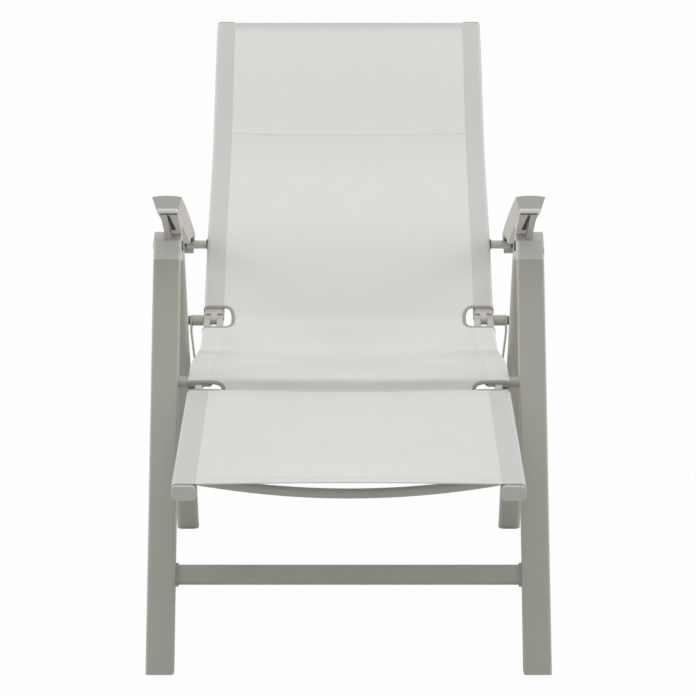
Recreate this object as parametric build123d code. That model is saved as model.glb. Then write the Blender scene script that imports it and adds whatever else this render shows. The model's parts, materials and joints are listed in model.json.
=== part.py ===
"""Reclining garden armchair with a leg rest: an aluminium frame strung with woven sling.

The chair stands on its feet in its lowest lounging position. All sizes are in millimetres.
+Z is up, +Y runs from the leg rest to the back rest, and +X is the sitter's left.
The side view is worked out with y measured from the front edge of the front feet, and the
finished pieces are then shifted so that the origin is at the centre of the box, on the floor.
"""

from build123d import *
import math
import os

os.makedirs("parts", exist_ok=True)

# Front legs: flat tubes that lean back from the feet
leg_inner_half = 260.5
front_leg_width = 42.0
front_leg_depth = 24.0
front_leg_corner = 4.0

# Rear legs: narrower, rounder tubes that lean forward
rear_leg_width = 37.0
rear_leg_depth = 24.0
rear_leg_corner = 9.0
rear_leg_inset = 1.5
foot_to_foot_length = 719.0
tube_wall = 1.6
foot_half_share = 0.575
foot_pad = 3.0
foot_plug = 22.0

# Pivots in the side view
fold_pivot_height = 572.0
fold_pivot_share = 0.50917
leg_axis_gap = 28.68
seat_pivot_height = 388.0
seat_length = 470.0
seat_drop = 20.0
link_foot_height = 150.0
arm_pivot_forward = 16.0
arm_pivot_rise = 50.0
arm_pin_reach = 198.0
arm_pin_sink = 15.5
pin_clearance = 0.05
side_clearance = 0.4

# Rails of the seat, the back rest and the leg rest: one hollow section with a groove below
rail_width = 33.0
rail_height = 21.0
rail_corner = 6.0
rail_wall = 1.8
rail_to_leg = 15.0
groove_radius = 3.1
groove_mouth = 2.2
groove_sink = 4.6
cord_radius = 2.4
back_length = 764.0
back_rise = math.radians(32.3)
leg_rest_length = 438.0
leg_rest_fall = math.radians(5.3)
seat_end_gap = 26.0
back_end_gap = 26.0
leg_rest_end_gap = 31.0

# Bends of the rails: along the chord from pivot to end, and off it, as shares of the chord
seat_bend_shares = ((0.22, 0.004), (0.72, -0.066))
seat_front_share = 0.0
seat_rear_share = -0.036
back_bend_shares = ((0.28, -0.017), (0.60, -0.057), (0.88, -0.004))
back_low_share = -0.0215
leg_rest_rear_share = -0.031
seat_bend_radius = 320.0
back_bend_radius = 520.0

# Sling
sling_thickness = 1.2
sling_gap = 0.3
sling_reach = 12.0
cutout_past_rail = 7.5
cutout_length = 40.0

# Cross bars between the rails, bowed away from the sling
bow_bar_height = 20.0
bow_bar_depth = 13.0
low_bar_height = 24.0
leg_rest_bar_height = 14.0
bow_bar_corner = 5.0
bow_bar_wall = 1.5
bar_gap = 0.1
back_bow = 24.0
seat_bow = 26.0
leg_rest_bow = 20.0
top_bar_share = 0.905
low_bar_share = 0.165
seat_front_bar_share = 0.12
seat_rear_bar_share = 0.87
leg_rest_front_bar_share = 0.885
leg_rest_rear_bar_share = 0.16

# Cross bars between the legs
cross_bar_height = 30.0
cross_bar_depth = 16.0
cross_bar_corner = 6.0
front_bar_height = 129.0
front_bar_set_back = 9.0
rear_bar_above_link = 45.0
rear_bar_height = 22.0
rear_bar_depth = 16.0
bracket_thickness = 4.0
bracket_margin = 2.5
bracket_screw_radius = 2.6
bracket_screw_reach = 9.0

# Plastic joint caps on the legs
knuckle_radius = 22.0
web_radius = 11.5
cap_seam = 33.0
cap_plug = 26.0
shoulder_top = 3.0
pocket_gap = 0.8
lug_width = 10.0
lug_radius = 10.0
lug_root_radius = 15.0
fold_pin_radius = 5.0
fold_pin_head_radius = 8.0
fold_pin_head = 2.0
plug_clearance = 0.25

# Pivot of the seat on the front legs
seat_bolt_radius = 4.0
seat_bolt_head_radius = 6.0
seat_bolt_head = 3.0
spacer_radius = 8.5

# Hinges between the rails: interleaved lugs on one bolt
lug_disc_radius = 7.5
lug_belt_radius = 6.5
rail_belt_radius = 8.0
hinge_plug = 24.0
hinge_flange = 3.5
rib_depth = 0.8
rib_width = 1.6

# Strut links from the back hinge to the rear legs
collar_radius = 9.0
collar_past_leg = 4.4
link_thickness = 3.0
link_half_width = 9.0
link_jog_start = 20.0
link_jog_end = 95.0
nut_radius = 8.0
nut_height = 3.2
link_bolt_radius = 4.0
link_bolt_head_radius = 7.0
link_bolt_head = 4.0
insert_radius = 6.0
insert_length = 12.0

# Pins on the back rails that carry the rear ends of the armrests
arm_pin_radius = 7.2
arm_pin_past_centre = 1.5
arm_pin_root = 10.0
ring_radius = 9.2
ring_width = 1.6

# Armrests: places are along and above the line from the arm pivot to the arm pin
arm_tip = 117.0
arm_tail = 20.0
arm_skin = 3.0
arm_crown = 2.0
arm_arch = 4.0
arm_front_bottom = 4.5
arm_rear_bottom = 14.0
arm_inboard_front = 29.0
arm_inboard_rear = 12.0
arm_outboard_front = 15.5
arm_outboard_rear = 13.5
arm_inner_slope = 6.0
arm_outer_slope = 8.0
pocket_front = 20.0
pocket_rear = 27.0
pocket_side = 0.5
pin_channel_outboard = 5.5
slot_width = 6.0
slot_depth = 12.0
slot_front_inboard = 4.5
slot_rear_outboard = 0.5
arm_bush_radius = 6.5
arm_pivot_radius = 4.0
arm_bush_inboard = 17.5
arm_bush_outboard = 9.0

# Notched rack in each armrest
arm_follow_share = 1.1674
notch_step = math.radians(9.0)
notch_count = 6
exit_turn = math.radians(66.0)
notch_depth = 2.5
pin_play = 0.4
rack_inboard = 8.0
rack_outboard = 2.0
rack_cover = 5.4
rack_roof_gap = 0.2

# Keel below each armrest's front, with a slot that opens towards the pivot
keel_inboard = 22.0
keel_outboard = 4.0
keel_set_back = 8.0
keel_depth = 26.0
keel_toe = 5.0
keel_heel = 8.0
keel_neck = 16.0
keel_neck_depth = 19.0
keel_end = 45.0
nose_slot_set_back = 20.0
nose_slot_front_width = 1.6
nose_slot_rear_width = 6.0
nose_slot_front_inboard = 7.5
nose_slot_rear_inboard = 11.0
nose_slot_roof = 4.0
nose_slot_wall = 2.0

# End caps of the rails
end_cap_thickness = 3.0
end_cap_margin = 0.3
end_cap_plug = 14.0

overrun = 60.0


def side(x):
    """Plane of the side view at a place across the chair: local x is +Y and local y is +Z."""
    return Plane(origin=(x, 0, 0), x_dir=(0, 1, 0), z_dir=(1, 0, 0))


def slab(sketch, x_from, x_to):
    """Solid with a side view as its outline, between two places across the chair."""
    return extrude(side(x_from) * sketch, amount=x_to - x_from)


def rod(point, radius, x_from, x_to):
    """Round rod across the chair."""
    return slab(Pos(*point) * Circle(radius), x_from, x_to)


def add(point, direction, amount):
    """Point of the side view moved along a direction."""
    return (point[0] + direction[0] * amount, point[1] + direction[1] * amount)


def heading(angle):
    """Unit direction in the side view."""
    return (math.cos(angle), math.sin(angle))


def left_of(direction):
    """Direction turned a quarter turn from +Y towards +Z."""
    return (-direction[1], direction[0])


def angle_of(start, end):
    """Angle of the line between two points of the side view."""
    return math.atan2(end[1] - start[1], end[0] - start[0])


def turned(point, centre, angle):
    """Point of the side view turned about another."""
    dy, dz = point[0] - centre[0], point[1] - centre[1]
    c, s = math.cos(angle), math.sin(angle)
    return (centre[0] + dy * c - dz * s, centre[1] + dy * s + dz * c)


def belt(first, first_radius, second, second_radius):
    """Outline round two circles and the straight band between them."""
    length = math.dist(first, second)
    line = angle_of(first, second)
    spread = math.acos((first_radius - second_radius) / length)
    corners = []
    for centre, radius, signs in (
        (first, first_radius, (1, -1)),
        (second, second_radius, (-1, 1)),
    ):
        for sign in signs:
            corners.append(add(centre, heading(line + sign * spread), radius))
    band = make_face(Polyline(*corners, close=True))
    return band + Pos(*first) * Circle(first_radius) + Pos(*second) * Circle(second_radius)


def beam(start, direction, centre_x, section, length):
    """Straight prism along a direction of the side view, with the section's x across."""
    plane = Plane(
        origin=(centre_x, *start), x_dir=(1, 0, 0), z_dir=(0, *direction)
    )
    return extrude(plane * section, amount=length)


def rounded(width, height, corner):
    """Rounded rectangle, with its corner limited by its sides."""
    return RectangleRounded(width, height, min(corner, 0.49 * width, 0.49 * height))


def shrunk(width, height, corner, wall):
    """The same rectangle inside a wall."""
    inner_corner = max(corner - wall, 0.1 * wall)
    return rounded(width - 2 * wall, height - 2 * wall, inner_corner)


def mirrored(shape):
    """The same piece for the other side of the chair."""
    return mirror(shape, about=Plane.YZ)


def above(height):
    """Everything from a height upwards, as one large block."""
    span = 4 * foot_to_foot_length
    return Pos(0, 0, height + span / 2) * Box(span, span, span)


def below(height):
    """Everything up to a height, as one large block."""
    span = 4 * foot_to_foot_length
    return Pos(0, 0, height - span / 2) * Box(span, span, span)


# Lines of the legs in the side view, passing the joint at the same distance on either side
fold_pivot = (fold_pivot_share * foot_to_foot_length, fold_pivot_height)
front_foot_y = foot_half_share * front_leg_depth
rear_foot_y = foot_to_foot_length - foot_half_share * rear_leg_depth
front_leg_lean = math.atan(
    (fold_pivot[0] - leg_axis_gap - front_foot_y) / fold_pivot_height
)
rear_leg_lean = math.atan(
    (rear_foot_y - leg_axis_gap - fold_pivot[0]) / fold_pivot_height
)
front_dir = (math.sin(front_leg_lean), math.cos(front_leg_lean))
rear_dir = (-math.sin(rear_leg_lean), math.cos(rear_leg_lean))


def on_front_leg(height):
    """Point of the front legs' centre line at a height."""
    return (front_foot_y + height * math.tan(front_leg_lean), height)


def on_rear_leg(height):
    """Point of the rear legs' centre line at a height."""
    return (rear_foot_y - height * math.tan(rear_leg_lean), height)


# Pivots in the side view
seat_pivot = on_front_leg(seat_pivot_height)
back_pivot = (seat_pivot[0] + seat_length, seat_pivot_height - seat_drop)
link_foot = on_rear_leg(link_foot_height)
arm_pivot = (fold_pivot[0] - arm_pivot_forward, fold_pivot[1] + arm_pivot_rise)
back_dir = heading(back_rise)
arm_pin = add(
    add(back_pivot, back_dir, arm_pin_reach), left_of(back_dir), -arm_pin_sink
)
leg_rest_dir = heading(math.pi + leg_rest_fall)
leg_rest_end = add(seat_pivot, leg_rest_dir, leg_rest_length)
back_end = add(back_pivot, back_dir, back_length)
leg_outer_half = leg_inner_half + front_leg_width
rear_inner_half = leg_inner_half - rear_leg_inset
rear_centre = rear_inner_half + rear_leg_width / 2
front_centre = leg_inner_half + front_leg_width / 2
rail_outer_half = leg_inner_half - rail_to_leg
rail_inner_half = rail_outer_half - rail_width
rail_centre = rail_outer_half - rail_width / 2
sling_inner_half = rail_inner_half - cutout_past_rail
collar_outer_half = leg_inner_half + collar_past_leg
arm_pin_tip_half = front_centre + arm_pin_past_centre
arm_inner_half_front = front_centre - arm_inboard_front
arm_inner_half_rear = front_centre - arm_inboard_rear
arm_outer_half_front = front_centre + arm_outboard_front
arm_outer_half_rear = front_centre + arm_outboard_rear
pin_channel_outer_half = front_centre + pin_channel_outboard
slot_front_half = front_centre - slot_front_inboard
slot_rear_half = front_centre + slot_rear_outboard
arm_bush_inner_half = front_centre - arm_bush_inboard
arm_bush_outer_half = front_centre + arm_bush_outboard
rack_inner_half = front_centre - rack_inboard
rack_outer_half = front_centre + rack_outboard
sides = {"left": 1, "right": -1}


def chord_point(start, end, along_share, off_share, up=1):
    """Point beside a chord, in shares of its length; positive is above the chord."""
    length = math.dist(start, end)
    line = heading(angle_of(start, end))
    return add(
        add(start, line, along_share * length), left_of(line), up * off_share * length
    )


def seat_points():
    """Bends of the seat rails, from the front to the rear."""
    length = math.dist(seat_pivot, back_pivot)
    ends = (seat_end_gap / length, 1 - back_end_gap / length)
    table = [(ends[0], seat_front_share), *seat_bend_shares, (ends[1], seat_rear_share)]
    return [chord_point(seat_pivot, back_pivot, s, o) for s, o in table]


def back_points():
    """Bends of the back rails, from the hinge to the top."""
    table = [(back_end_gap / back_length, back_low_share), *back_bend_shares, (1.0, 0.0)]
    return [chord_point(back_pivot, back_end, s, o) for s, o in table]


def leg_rest_points():
    """Ends of the straight leg rest rails, from the front to the hinge."""
    table = [(1.0, 0.0), (leg_rest_end_gap / leg_rest_length, leg_rest_rear_share)]
    return [chord_point(seat_pivot, leg_rest_end, s, o, up=-1) for s, o in table]


def stretched(points, front, rear):
    """The same run of points with its ends moved outwards along their own lines."""
    first = add(points[0], heading(angle_of(points[1], points[0])), front)
    last = add(points[-1], heading(angle_of(points[-2], points[-1])), rear)
    return [first, *points[1:-1], last]


def path_of(points, radius, x):
    """Line through the points with rounded bends, in the side view at x."""
    if len(points) == 2:
        return side(x) * Line(*points)
    return side(x) * FilletPolyline(*points, radius=radius)


def run_along(section, path):
    """Section swept along a rail's line; the section's y points down from the sitter."""
    start = Plane(origin=path @ 0, x_dir=(1, 0, 0), z_dir=path % 0)
    return sweep(sections=start * section, path=path)


def rail_section():
    """Hollow rail with a round groove below for the cord in the sling's hem."""
    outer = rounded(rail_width, rail_height, rail_corner)
    groove_y = rail_height / 2 - groove_sink
    floor = groove_y - groove_radius - rail_wall
    top = rail_wall - rail_height / 2
    hollow = rounded(rail_width - 2 * rail_wall, floor - top, rail_corner - rail_wall)
    mouth_height = groove_sink + overrun
    mouth = Rectangle(groove_mouth, mouth_height)
    return (
        outer
        - Pos(0, (floor + top) / 2) * hollow
        - Pos(0, groove_y) * Circle(groove_radius)
        - Pos(0, groove_y + mouth_height / 2) * mouth
    )


def hollow_centre():
    """Middle of the rail's hollow, its width and its height, in the rail section."""
    groove_y = rail_height / 2 - groove_sink
    floor = groove_y - groove_radius - rail_wall
    top = rail_wall - rail_height / 2
    return (floor + top) / 2, rail_width - 2 * rail_wall, floor - top


def rail(points, radius, holes=()):
    """Rail of the sitter's left side, drilled across where pins pass."""
    body = run_along(rail_section(), path_of(points, radius, rail_centre))
    for point, hole in holes:
        body -= rod(point, hole + pin_clearance, rail_inner_half, rail_outer_half)
    return body


def hem_cords(points, radius):
    """Plastic cords that hold the sling's hems in the grooves of both rails."""
    section = Pos(0, rail_height / 2 - groove_sink) * Circle(cord_radius)
    cord = run_along(section, path_of(points, radius, rail_centre))
    return cord + mirrored(cord)


def sling(points, radius, front_open, rear_open):
    """Sheet that lies on the rails; it is cut back beside the hinges at its open ends."""
    reach = [sling_reach if is_open else 0 for is_open in (front_open, rear_open)]
    run = stretched(points, *reach)
    lift = rail_height / 2 + sling_gap + sling_thickness / 2
    section = Pos(0, -lift) * Rectangle(2 * rail_outer_half, sling_thickness)
    sheet = run_along(section, path_of(run, radius, 0))
    for is_open, end, inner in (
        (front_open, run[0], run[1]),
        (rear_open, run[-1], run[-2]),
    ):
        if is_open:
            line = heading(angle_of(end, inner))
            width = rail_outer_half - sling_inner_half
            cut = Rectangle(width + overrun, 2 * rail_height)
            for sign in sides.values():
                centre = sign * (sling_inner_half + (width + overrun) / 2)
                sheet -= beam(end, line, centre, cut, cutout_length / 2)
                sheet -= beam(end, (-line[0], -line[1]), centre, cut, cutout_length / 2)
    return sheet


def end_cap(points, at_end):
    """Plastic cap that closes the end of a rail of the sitter's left side."""
    end, inner = (points[-1], points[-2]) if at_end else (points[0], points[1])
    outward = heading(angle_of(inner, end))
    inward = (-outward[0], -outward[1])
    plate = rounded(
        rail_width + 2 * end_cap_margin, rail_height + 2 * end_cap_margin, rail_corner
    )
    centre_y, width, height = hollow_centre()
    plug = rounded(
        width - 2 * plug_clearance,
        height - 2 * plug_clearance,
        rail_corner - rail_wall,
    )
    down = 1 if at_end else -1
    cap = beam(end, outward, rail_centre, plate, end_cap_thickness)
    edges = cap.faces().sort_by(Axis((0, *end), (0, *outward)))[-1].edges()
    cap = fillet(edges, end_cap_thickness / 2)
    return cap + beam(
        end, inward, rail_centre, Pos(0, -down * centre_y) * plug, end_cap_plug
    )


def bowed_bar(start, end, along_share, bow, height, points, up=1):
    """Tube between the two rails, bowed away from the sling in its middle."""
    line = heading(angle_of(start, end))
    down = add((0, 0), left_of(line), -up)
    centre = point_on(points, start, end, along_share)
    plane = Plane(
        origin=(0, *centre), x_dir=(1, 0, 0), z_dir=(0, *line)
    )
    drop = bow if plane.to_local_coords(Vector(0, *add(centre, down, 1))).Y > 0 else -bow
    half = rail_inner_half
    arc = plane * ThreePointArc((-half, 0), (0, drop), (half, 0))
    start_plane = Plane(origin=arc @ 0, x_dir=(0, *line), z_dir=arc % 0)
    outer = sweep(sections=start_plane * rounded(height, bow_bar_depth, bow_bar_corner), path=arc)
    inner = sweep(
        sections=start_plane * shrunk(height, bow_bar_depth, bow_bar_corner, bow_bar_wall),
        path=arc,
    )
    room = Pos(0, *centre) * Box(2 * (half - bar_gap), 4 * bow + overrun, 4 * bow + overrun)
    return (outer - inner) & room


def point_on(points, start, end, along_share):
    """Point of a bent run at a share of its chord, between the run's own points."""
    line = heading(angle_of(start, end))
    want = along_share * math.dist(start, end)

    def along(point):
        return (point[0] - start[0]) * line[0] + (point[1] - start[1]) * line[1]

    ordered = sorted(points, key=along)
    for low, high in zip(ordered, ordered[1:]):
        if want <= along(high):
            share = (want - along(low)) / (along(high) - along(low))
            return add(low, (high[0] - low[0], high[1] - low[1]), share)
    return ordered[-1]


def leg(foot_y, direction, centre_x, width, depth, corner, top):
    """Hollow leg, cut level above its foot, up to its joint cap."""
    start = add((foot_y, 0), direction, -depth)
    length = math.dist(start, top)
    outer = beam(start, direction, centre_x, rounded(width, depth, corner), length)
    inner = beam(
        start, direction, centre_x, shrunk(width, depth, corner, tube_wall), length
    )
    return (outer - inner) & above(foot_pad)


def foot(foot_y, direction, centre_x, width, depth, corner):
    """Plastic foot: a pad under the leg and a plug inside it."""
    start = add((foot_y, 0), direction, -2 * depth)
    length = 2 * depth + 4 * foot_plug
    pad = beam(start, direction, centre_x, rounded(width, depth, corner), length)
    plug_wall = tube_wall + plug_clearance
    plug = beam(
        start, direction, centre_x, shrunk(width, depth, corner, plug_wall), length
    )
    pad = pad & above(0) & below(foot_pad)
    plug = plug & above(foot_pad / 2) & below(foot_pad + foot_plug)
    return pad + plug


# Joint caps: the front cap carries the upper lug of the arm, the rear cap turns beside it
front_top = add(
    fold_pivot, front_dir, -cap_seam
)
front_leg_top = add(front_top, left_of(front_dir), leg_axis_gap * front_dir[1])
rear_leg_top = add(
    add(fold_pivot, rear_dir, -cap_seam), left_of(rear_dir), -leg_axis_gap * rear_dir[1]
)
cap_half = front_leg_width / 2


def front_cap(x_low):
    """Cap of a front leg from x_low outwards in +X; its solid half is the upper one in x."""
    centre_x = x_low + cap_half
    section = rounded(front_leg_width, front_leg_depth, front_leg_corner)
    block = beam(front_leg_top, front_dir, centre_x, section, cap_seam - shoulder_top)
    pocket = rod(
        fold_pivot, knuckle_radius + pocket_gap, x_low - side_clearance, centre_x
    )
    block -= pocket
    shoulder = add(front_leg_top, front_dir, (cap_seam - shoulder_top) / 2)
    solid_from = centre_x + side_clearance / 2
    solid_to = x_low + front_leg_width
    web = belt(fold_pivot, knuckle_radius, shoulder, front_leg_depth / 2)
    cap = block + slab(web, solid_from, solid_to)
    lug = belt(arm_pivot, lug_radius, fold_pivot, lug_root_radius)
    lug_from, lug_to = centre_x - lug_width / 2, centre_x + lug_width / 2
    lug_body = slab(lug, lug_from, lug_to) - rod(
        fold_pivot, knuckle_radius + pocket_gap, lug_from - side_clearance, solid_from
    )
    cap += lug_body
    plug = shrunk(
        front_leg_width, front_leg_depth, front_leg_corner, tube_wall + plug_clearance
    )
    inward = (-front_dir[0], -front_dir[1])
    cap += beam(front_leg_top, inward, centre_x, plug, cap_plug)
    cap -= rod(
        fold_pivot, fold_pin_radius + pin_clearance, x_low - overrun, x_low + overrun * 2
    )
    cap -= rod(arm_pivot, arm_pivot_radius + pin_clearance, lug_from, lug_to)
    return cap


def rear_cap(x_low, leg_centre):
    """Cap of a rear leg: a knuckle in the lower half of x, and a sleeve on the leg."""
    section = rounded(rear_leg_width, rear_leg_depth, rear_leg_corner)
    knuckle_to = x_low + cap_half - side_clearance / 2
    inward = (-rear_dir[0], -rear_dir[1])
    sleeve_length = cap_seam / 3
    sleeve_start = add(rear_leg_top, inward, sleeve_length)
    web = belt(fold_pivot, web_radius, rear_leg_top, rear_leg_depth / 2)
    web_end = add(rear_leg_top, inward, sleeve_length / 2)
    web += belt(rear_leg_top, rear_leg_depth / 2, web_end, rear_leg_depth / 2)
    knuckle = slab(web + Pos(*fold_pivot) * Circle(knuckle_radius), x_low, knuckle_to)
    leg_low = leg_centre - rear_leg_width / 2
    reach_in = max(leg_low, x_low)
    knuckle_leg = slab(web, reach_in, min(knuckle_to, leg_low + rear_leg_width))
    cap = knuckle + knuckle_leg
    leg_room = Rectangle(rear_leg_width + overrun, rear_leg_depth + overrun)
    cap -= beam(sleeve_start, inward, leg_centre, leg_room, overrun)
    cap += beam(sleeve_start, rear_dir, leg_centre, section, sleeve_length)
    plug = shrunk(
        rear_leg_width, rear_leg_depth, rear_leg_corner, tube_wall + plug_clearance
    )
    cap += beam(sleeve_start, inward, leg_centre, plug, cap_plug)
    return cap - rod(
        fold_pivot, fold_pin_radius + pin_clearance, x_low - overrun, x_low + overrun * 2
    )


def fold_pin(x_low):
    """Pin through both caps of one side, with a flat head at each end."""
    reach = x_low + front_leg_width
    pin = rod(fold_pivot, fold_pin_radius, x_low - fold_pin_head, reach)
    head = rod(fold_pivot, fold_pin_head_radius, reach + side_clearance, reach + fold_pin_head)
    tail = rod(
        fold_pivot,
        fold_pin_head_radius,
        x_low - fold_pin_head - side_clearance,
        x_low - side_clearance,
    )
    return pin + rod(fold_pivot, fold_pin_radius, reach, reach + fold_pin_head) + head + tail


def cross_bar(centre, direction, height, depth, half):
    """Straight hollow bar across the chair with its height along the legs."""
    plane = Plane(origin=(-half, *centre), x_dir=(0, *direction), z_dir=(1, 0, 0))
    outer = rounded(height, depth, cross_bar_corner)
    inner = shrunk(height, depth, cross_bar_corner, tube_wall)
    return extrude(plane * (outer - inner), amount=2 * half)


def brackets(centre, direction, height, depth, half):
    """Plates that close both ends of a bar against the legs, each with its screw."""
    group = []
    for sign in sides.values():
        near = sign * (half - bracket_thickness)
        plane = Plane(origin=(near, *centre), x_dir=(0, *direction), z_dir=(sign, 0, 0))
        plate = rounded(
            height + 2 * bracket_margin, depth + 2 * bracket_margin, cross_bar_corner
        )
        body = extrude(plane * plate, amount=bracket_thickness)
        body += extrude(
            plane * Circle(bracket_screw_radius), amount=-bracket_screw_reach
        )
        group.append(body)
    return Compound(children=group)


def lug_spans(count_index, total):
    """Share of the rail's width that one lug of the hinge takes, as two places in x."""
    pitch = rail_width / total
    low = rail_inner_half + pitch * count_index
    return low + side_clearance / 2, low + pitch - side_clearance / 2


def hinge_leaf(pivot, points, at_end, lugs, total, bore):
    """Plastic leaf plugged into a rail's end, with lugs that turn on the hinge bolt."""
    end, inner = (points[-1], points[-2]) if at_end else (points[0], points[1])
    outward = heading(angle_of(inner, end))
    inward = (-outward[0], -outward[1])
    root = add(end, outward, hinge_flange / 2)
    leaf = beam(
        end,
        outward,
        rail_centre,
        rounded(rail_width, rail_height, rail_corner),
        hinge_flange,
    )
    rail_room = Rectangle(rail_width + overrun, rail_height + overrun)
    for index in lugs:
        low, high = lug_spans(index, total)
        leaf += slab(belt(pivot, lug_belt_radius, root, rail_belt_radius), low, high)
        leaf += rod(pivot, lug_disc_radius, low, high)
        for edge in (low, high - rib_width):
            leaf += rod(pivot, lug_disc_radius + rib_depth, edge, edge + rib_width)
    leaf -= beam(end, inward, rail_centre, rail_room, overrun)
    centre_y, width, height = hollow_centre()
    plug = rounded(
        width - 2 * plug_clearance, height - 2 * plug_clearance, rail_corner - rail_wall
    )
    down = 1 if at_end else -1
    leaf += beam(end, inward, rail_centre, Pos(0, -down * centre_y) * plug, hinge_plug)
    return leaf - rod(
        pivot, bore + pin_clearance, rail_inner_half - overrun, rail_outer_half + overrun
    )


def seat_bolt():
    """Bolt from inside the seat's front hinge, through the spacer, flush with the leg outside."""
    start = rail_inner_half - pin_clearance - seat_bolt_head
    shank = rod(seat_pivot, seat_bolt_radius, start, leg_outer_half)
    head = rod(seat_pivot, seat_bolt_head_radius, start, start + seat_bolt_head)
    return shank + head


def seat_spacer():
    """Collar that keeps the seat's rail off the front leg."""
    inner = rail_outer_half + side_clearance
    outer = leg_inner_half
    ring = rod(seat_pivot, spacer_radius, inner, outer)
    return ring - rod(seat_pivot, seat_bolt_radius + pin_clearance, inner, outer)


link_inner_half = rear_inner_half - side_clearance - link_thickness
link_outer_half = collar_outer_half + side_clearance
nut_inner_half = link_outer_half + link_thickness + side_clearance


def back_bolt():
    """Bolt of the back hinge, from inside the rail out to the link's nut."""
    return rod(back_pivot, seat_bolt_radius, rail_inner_half, nut_inner_half + nut_height / 2)


def back_collar():
    """Plain collar between the back hinge and the link."""
    inner = rail_outer_half + side_clearance
    ring = rod(back_pivot, collar_radius, inner, collar_outer_half)
    return ring - rod(
        back_pivot, seat_bolt_radius + pin_clearance, inner, collar_outer_half
    )


def back_nut():
    """Domed cap nut outside the link."""
    outline = Pos(*back_pivot) * RegularPolygon(nut_radius, 6)
    outer = nut_inner_half + nut_height
    nut = slab(outline, nut_inner_half, outer)
    return nut - rod(
        back_pivot,
        seat_bolt_radius + pin_clearance,
        nut_inner_half,
        nut_inner_half + nut_height / 2 + pin_clearance,
    )


def link():
    """Flat strut that steps inboard between the back hinge and the rear leg."""
    length = math.dist(back_pivot, link_foot)
    line = heading(angle_of(back_pivot, link_foot))
    plane = Plane(
        origin=(0, *add(back_pivot, left_of(line), -overrun)),
        x_dir=(1, 0, 0),
        z_dir=(0, *left_of(line)),
    )
    flip = -1 if plane.y_dir.dot(Vector(0, *line)) < 0 else 1
    stops = (
        (-overrun, link_outer_half),
        (link_jog_start, link_outer_half),
        (link_jog_end, link_inner_half),
        (length + overrun, link_inner_half),
    )
    inner_edge = [(x, flip * along) for along, x in stops]
    outer_edge = [(x + link_thickness, flip * along) for along, x in reversed(stops)]
    band = make_face(Polyline(*inner_edge, *outer_edge, close=True))
    strip = extrude(plane * band, amount=2 * overrun)
    outline = belt(back_pivot, link_half_width, link_foot, link_half_width)
    strut = strip & slab(outline, link_inner_half - overrun, link_outer_half + overrun)
    for centre, radius in ((back_pivot, seat_bolt_radius), (link_foot, link_bolt_radius)):
        strut -= rod(
            centre,
            radius + pin_clearance,
            link_inner_half - overrun,
            link_outer_half + overrun,
        )
    return strut


def link_bolt():
    """Bolt in the link's lower hole; it ends short of the rear leg, where the loop is open."""
    head_to = link_inner_half - side_clearance
    head_from = head_to - link_bolt_head
    shank = rod(link_foot, link_bolt_radius, head_from, link_inner_half + link_thickness)
    return shank + rod(link_foot, link_bolt_head_radius, head_from, head_to)


def link_insert():
    """Threaded insert, flush in the inner wall of the rear leg, for the link's bolt."""
    outer = rear_inner_half + insert_length
    ring = rod(link_foot, insert_radius, rear_inner_half, outer)
    return ring - rod(link_foot, link_bolt_radius, rear_inner_half, outer)


def arm_pin_body():
    """Pin fixed in the back rail, with its rounded tip under the armrest."""
    root = rail_outer_half - arm_pin_root
    pin = rod(arm_pin, arm_pin_radius, root, arm_pin_tip_half)
    return fillet(pin.faces().sort_by(Axis.X)[-1].edges(), arm_pin_radius / 6)


def arm_ring():
    """Rubber ring between the pin's shoulder and the rail."""
    inner = rail_outer_half + sling_thickness
    ring = rod(arm_pin, ring_radius, inner, inner + ring_width)
    return ring - rod(arm_pin, arm_pin_radius + pin_clearance, inner, inner + ring_width)


# The armrest's own frame: along from the arm pivot to the arm pin, and up from that line
arm_angle = angle_of(arm_pivot, arm_pin)
arm_length = math.dist(arm_pivot, arm_pin)
arm_dir = heading(arm_angle)
channel_turn = (notch_count - 1) * notch_step
last_pin = turned(arm_pin, back_pivot, channel_turn)
level_ratio = (angle_of(arm_pivot, last_pin) - arm_angle) / channel_turn
arm_follow_ratio = arm_follow_share * level_ratio


def arm_point(along, up):
    """Point of the side view from places in the armrest's frame."""
    return add(add(arm_pivot, arm_dir, along), left_of(arm_dir), up)


def pin_in_arm(turn):
    """Place of the arm pin in the armrest's frame when the back has turned by an angle."""
    moved = turned(arm_pin, back_pivot, turn)
    moved = turned(moved, arm_pivot, -arm_follow_ratio * turn)
    dy, dz = moved[0] - arm_pivot[0], moved[1] - arm_pivot[1]
    up = left_of(arm_dir)
    return (dy * arm_dir[0] + dz * arm_dir[1], dy * up[0] + dz * up[1])


def pin_path(first, last, count, lift):
    """Points of the arm pin's way through the armrest, raised by an amount."""
    points = []
    for index in range(count):
        along, up = pin_in_arm(first + (last - first) * index / (count - 1))
        points.append(arm_point(along, up + lift))
    return points


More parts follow.
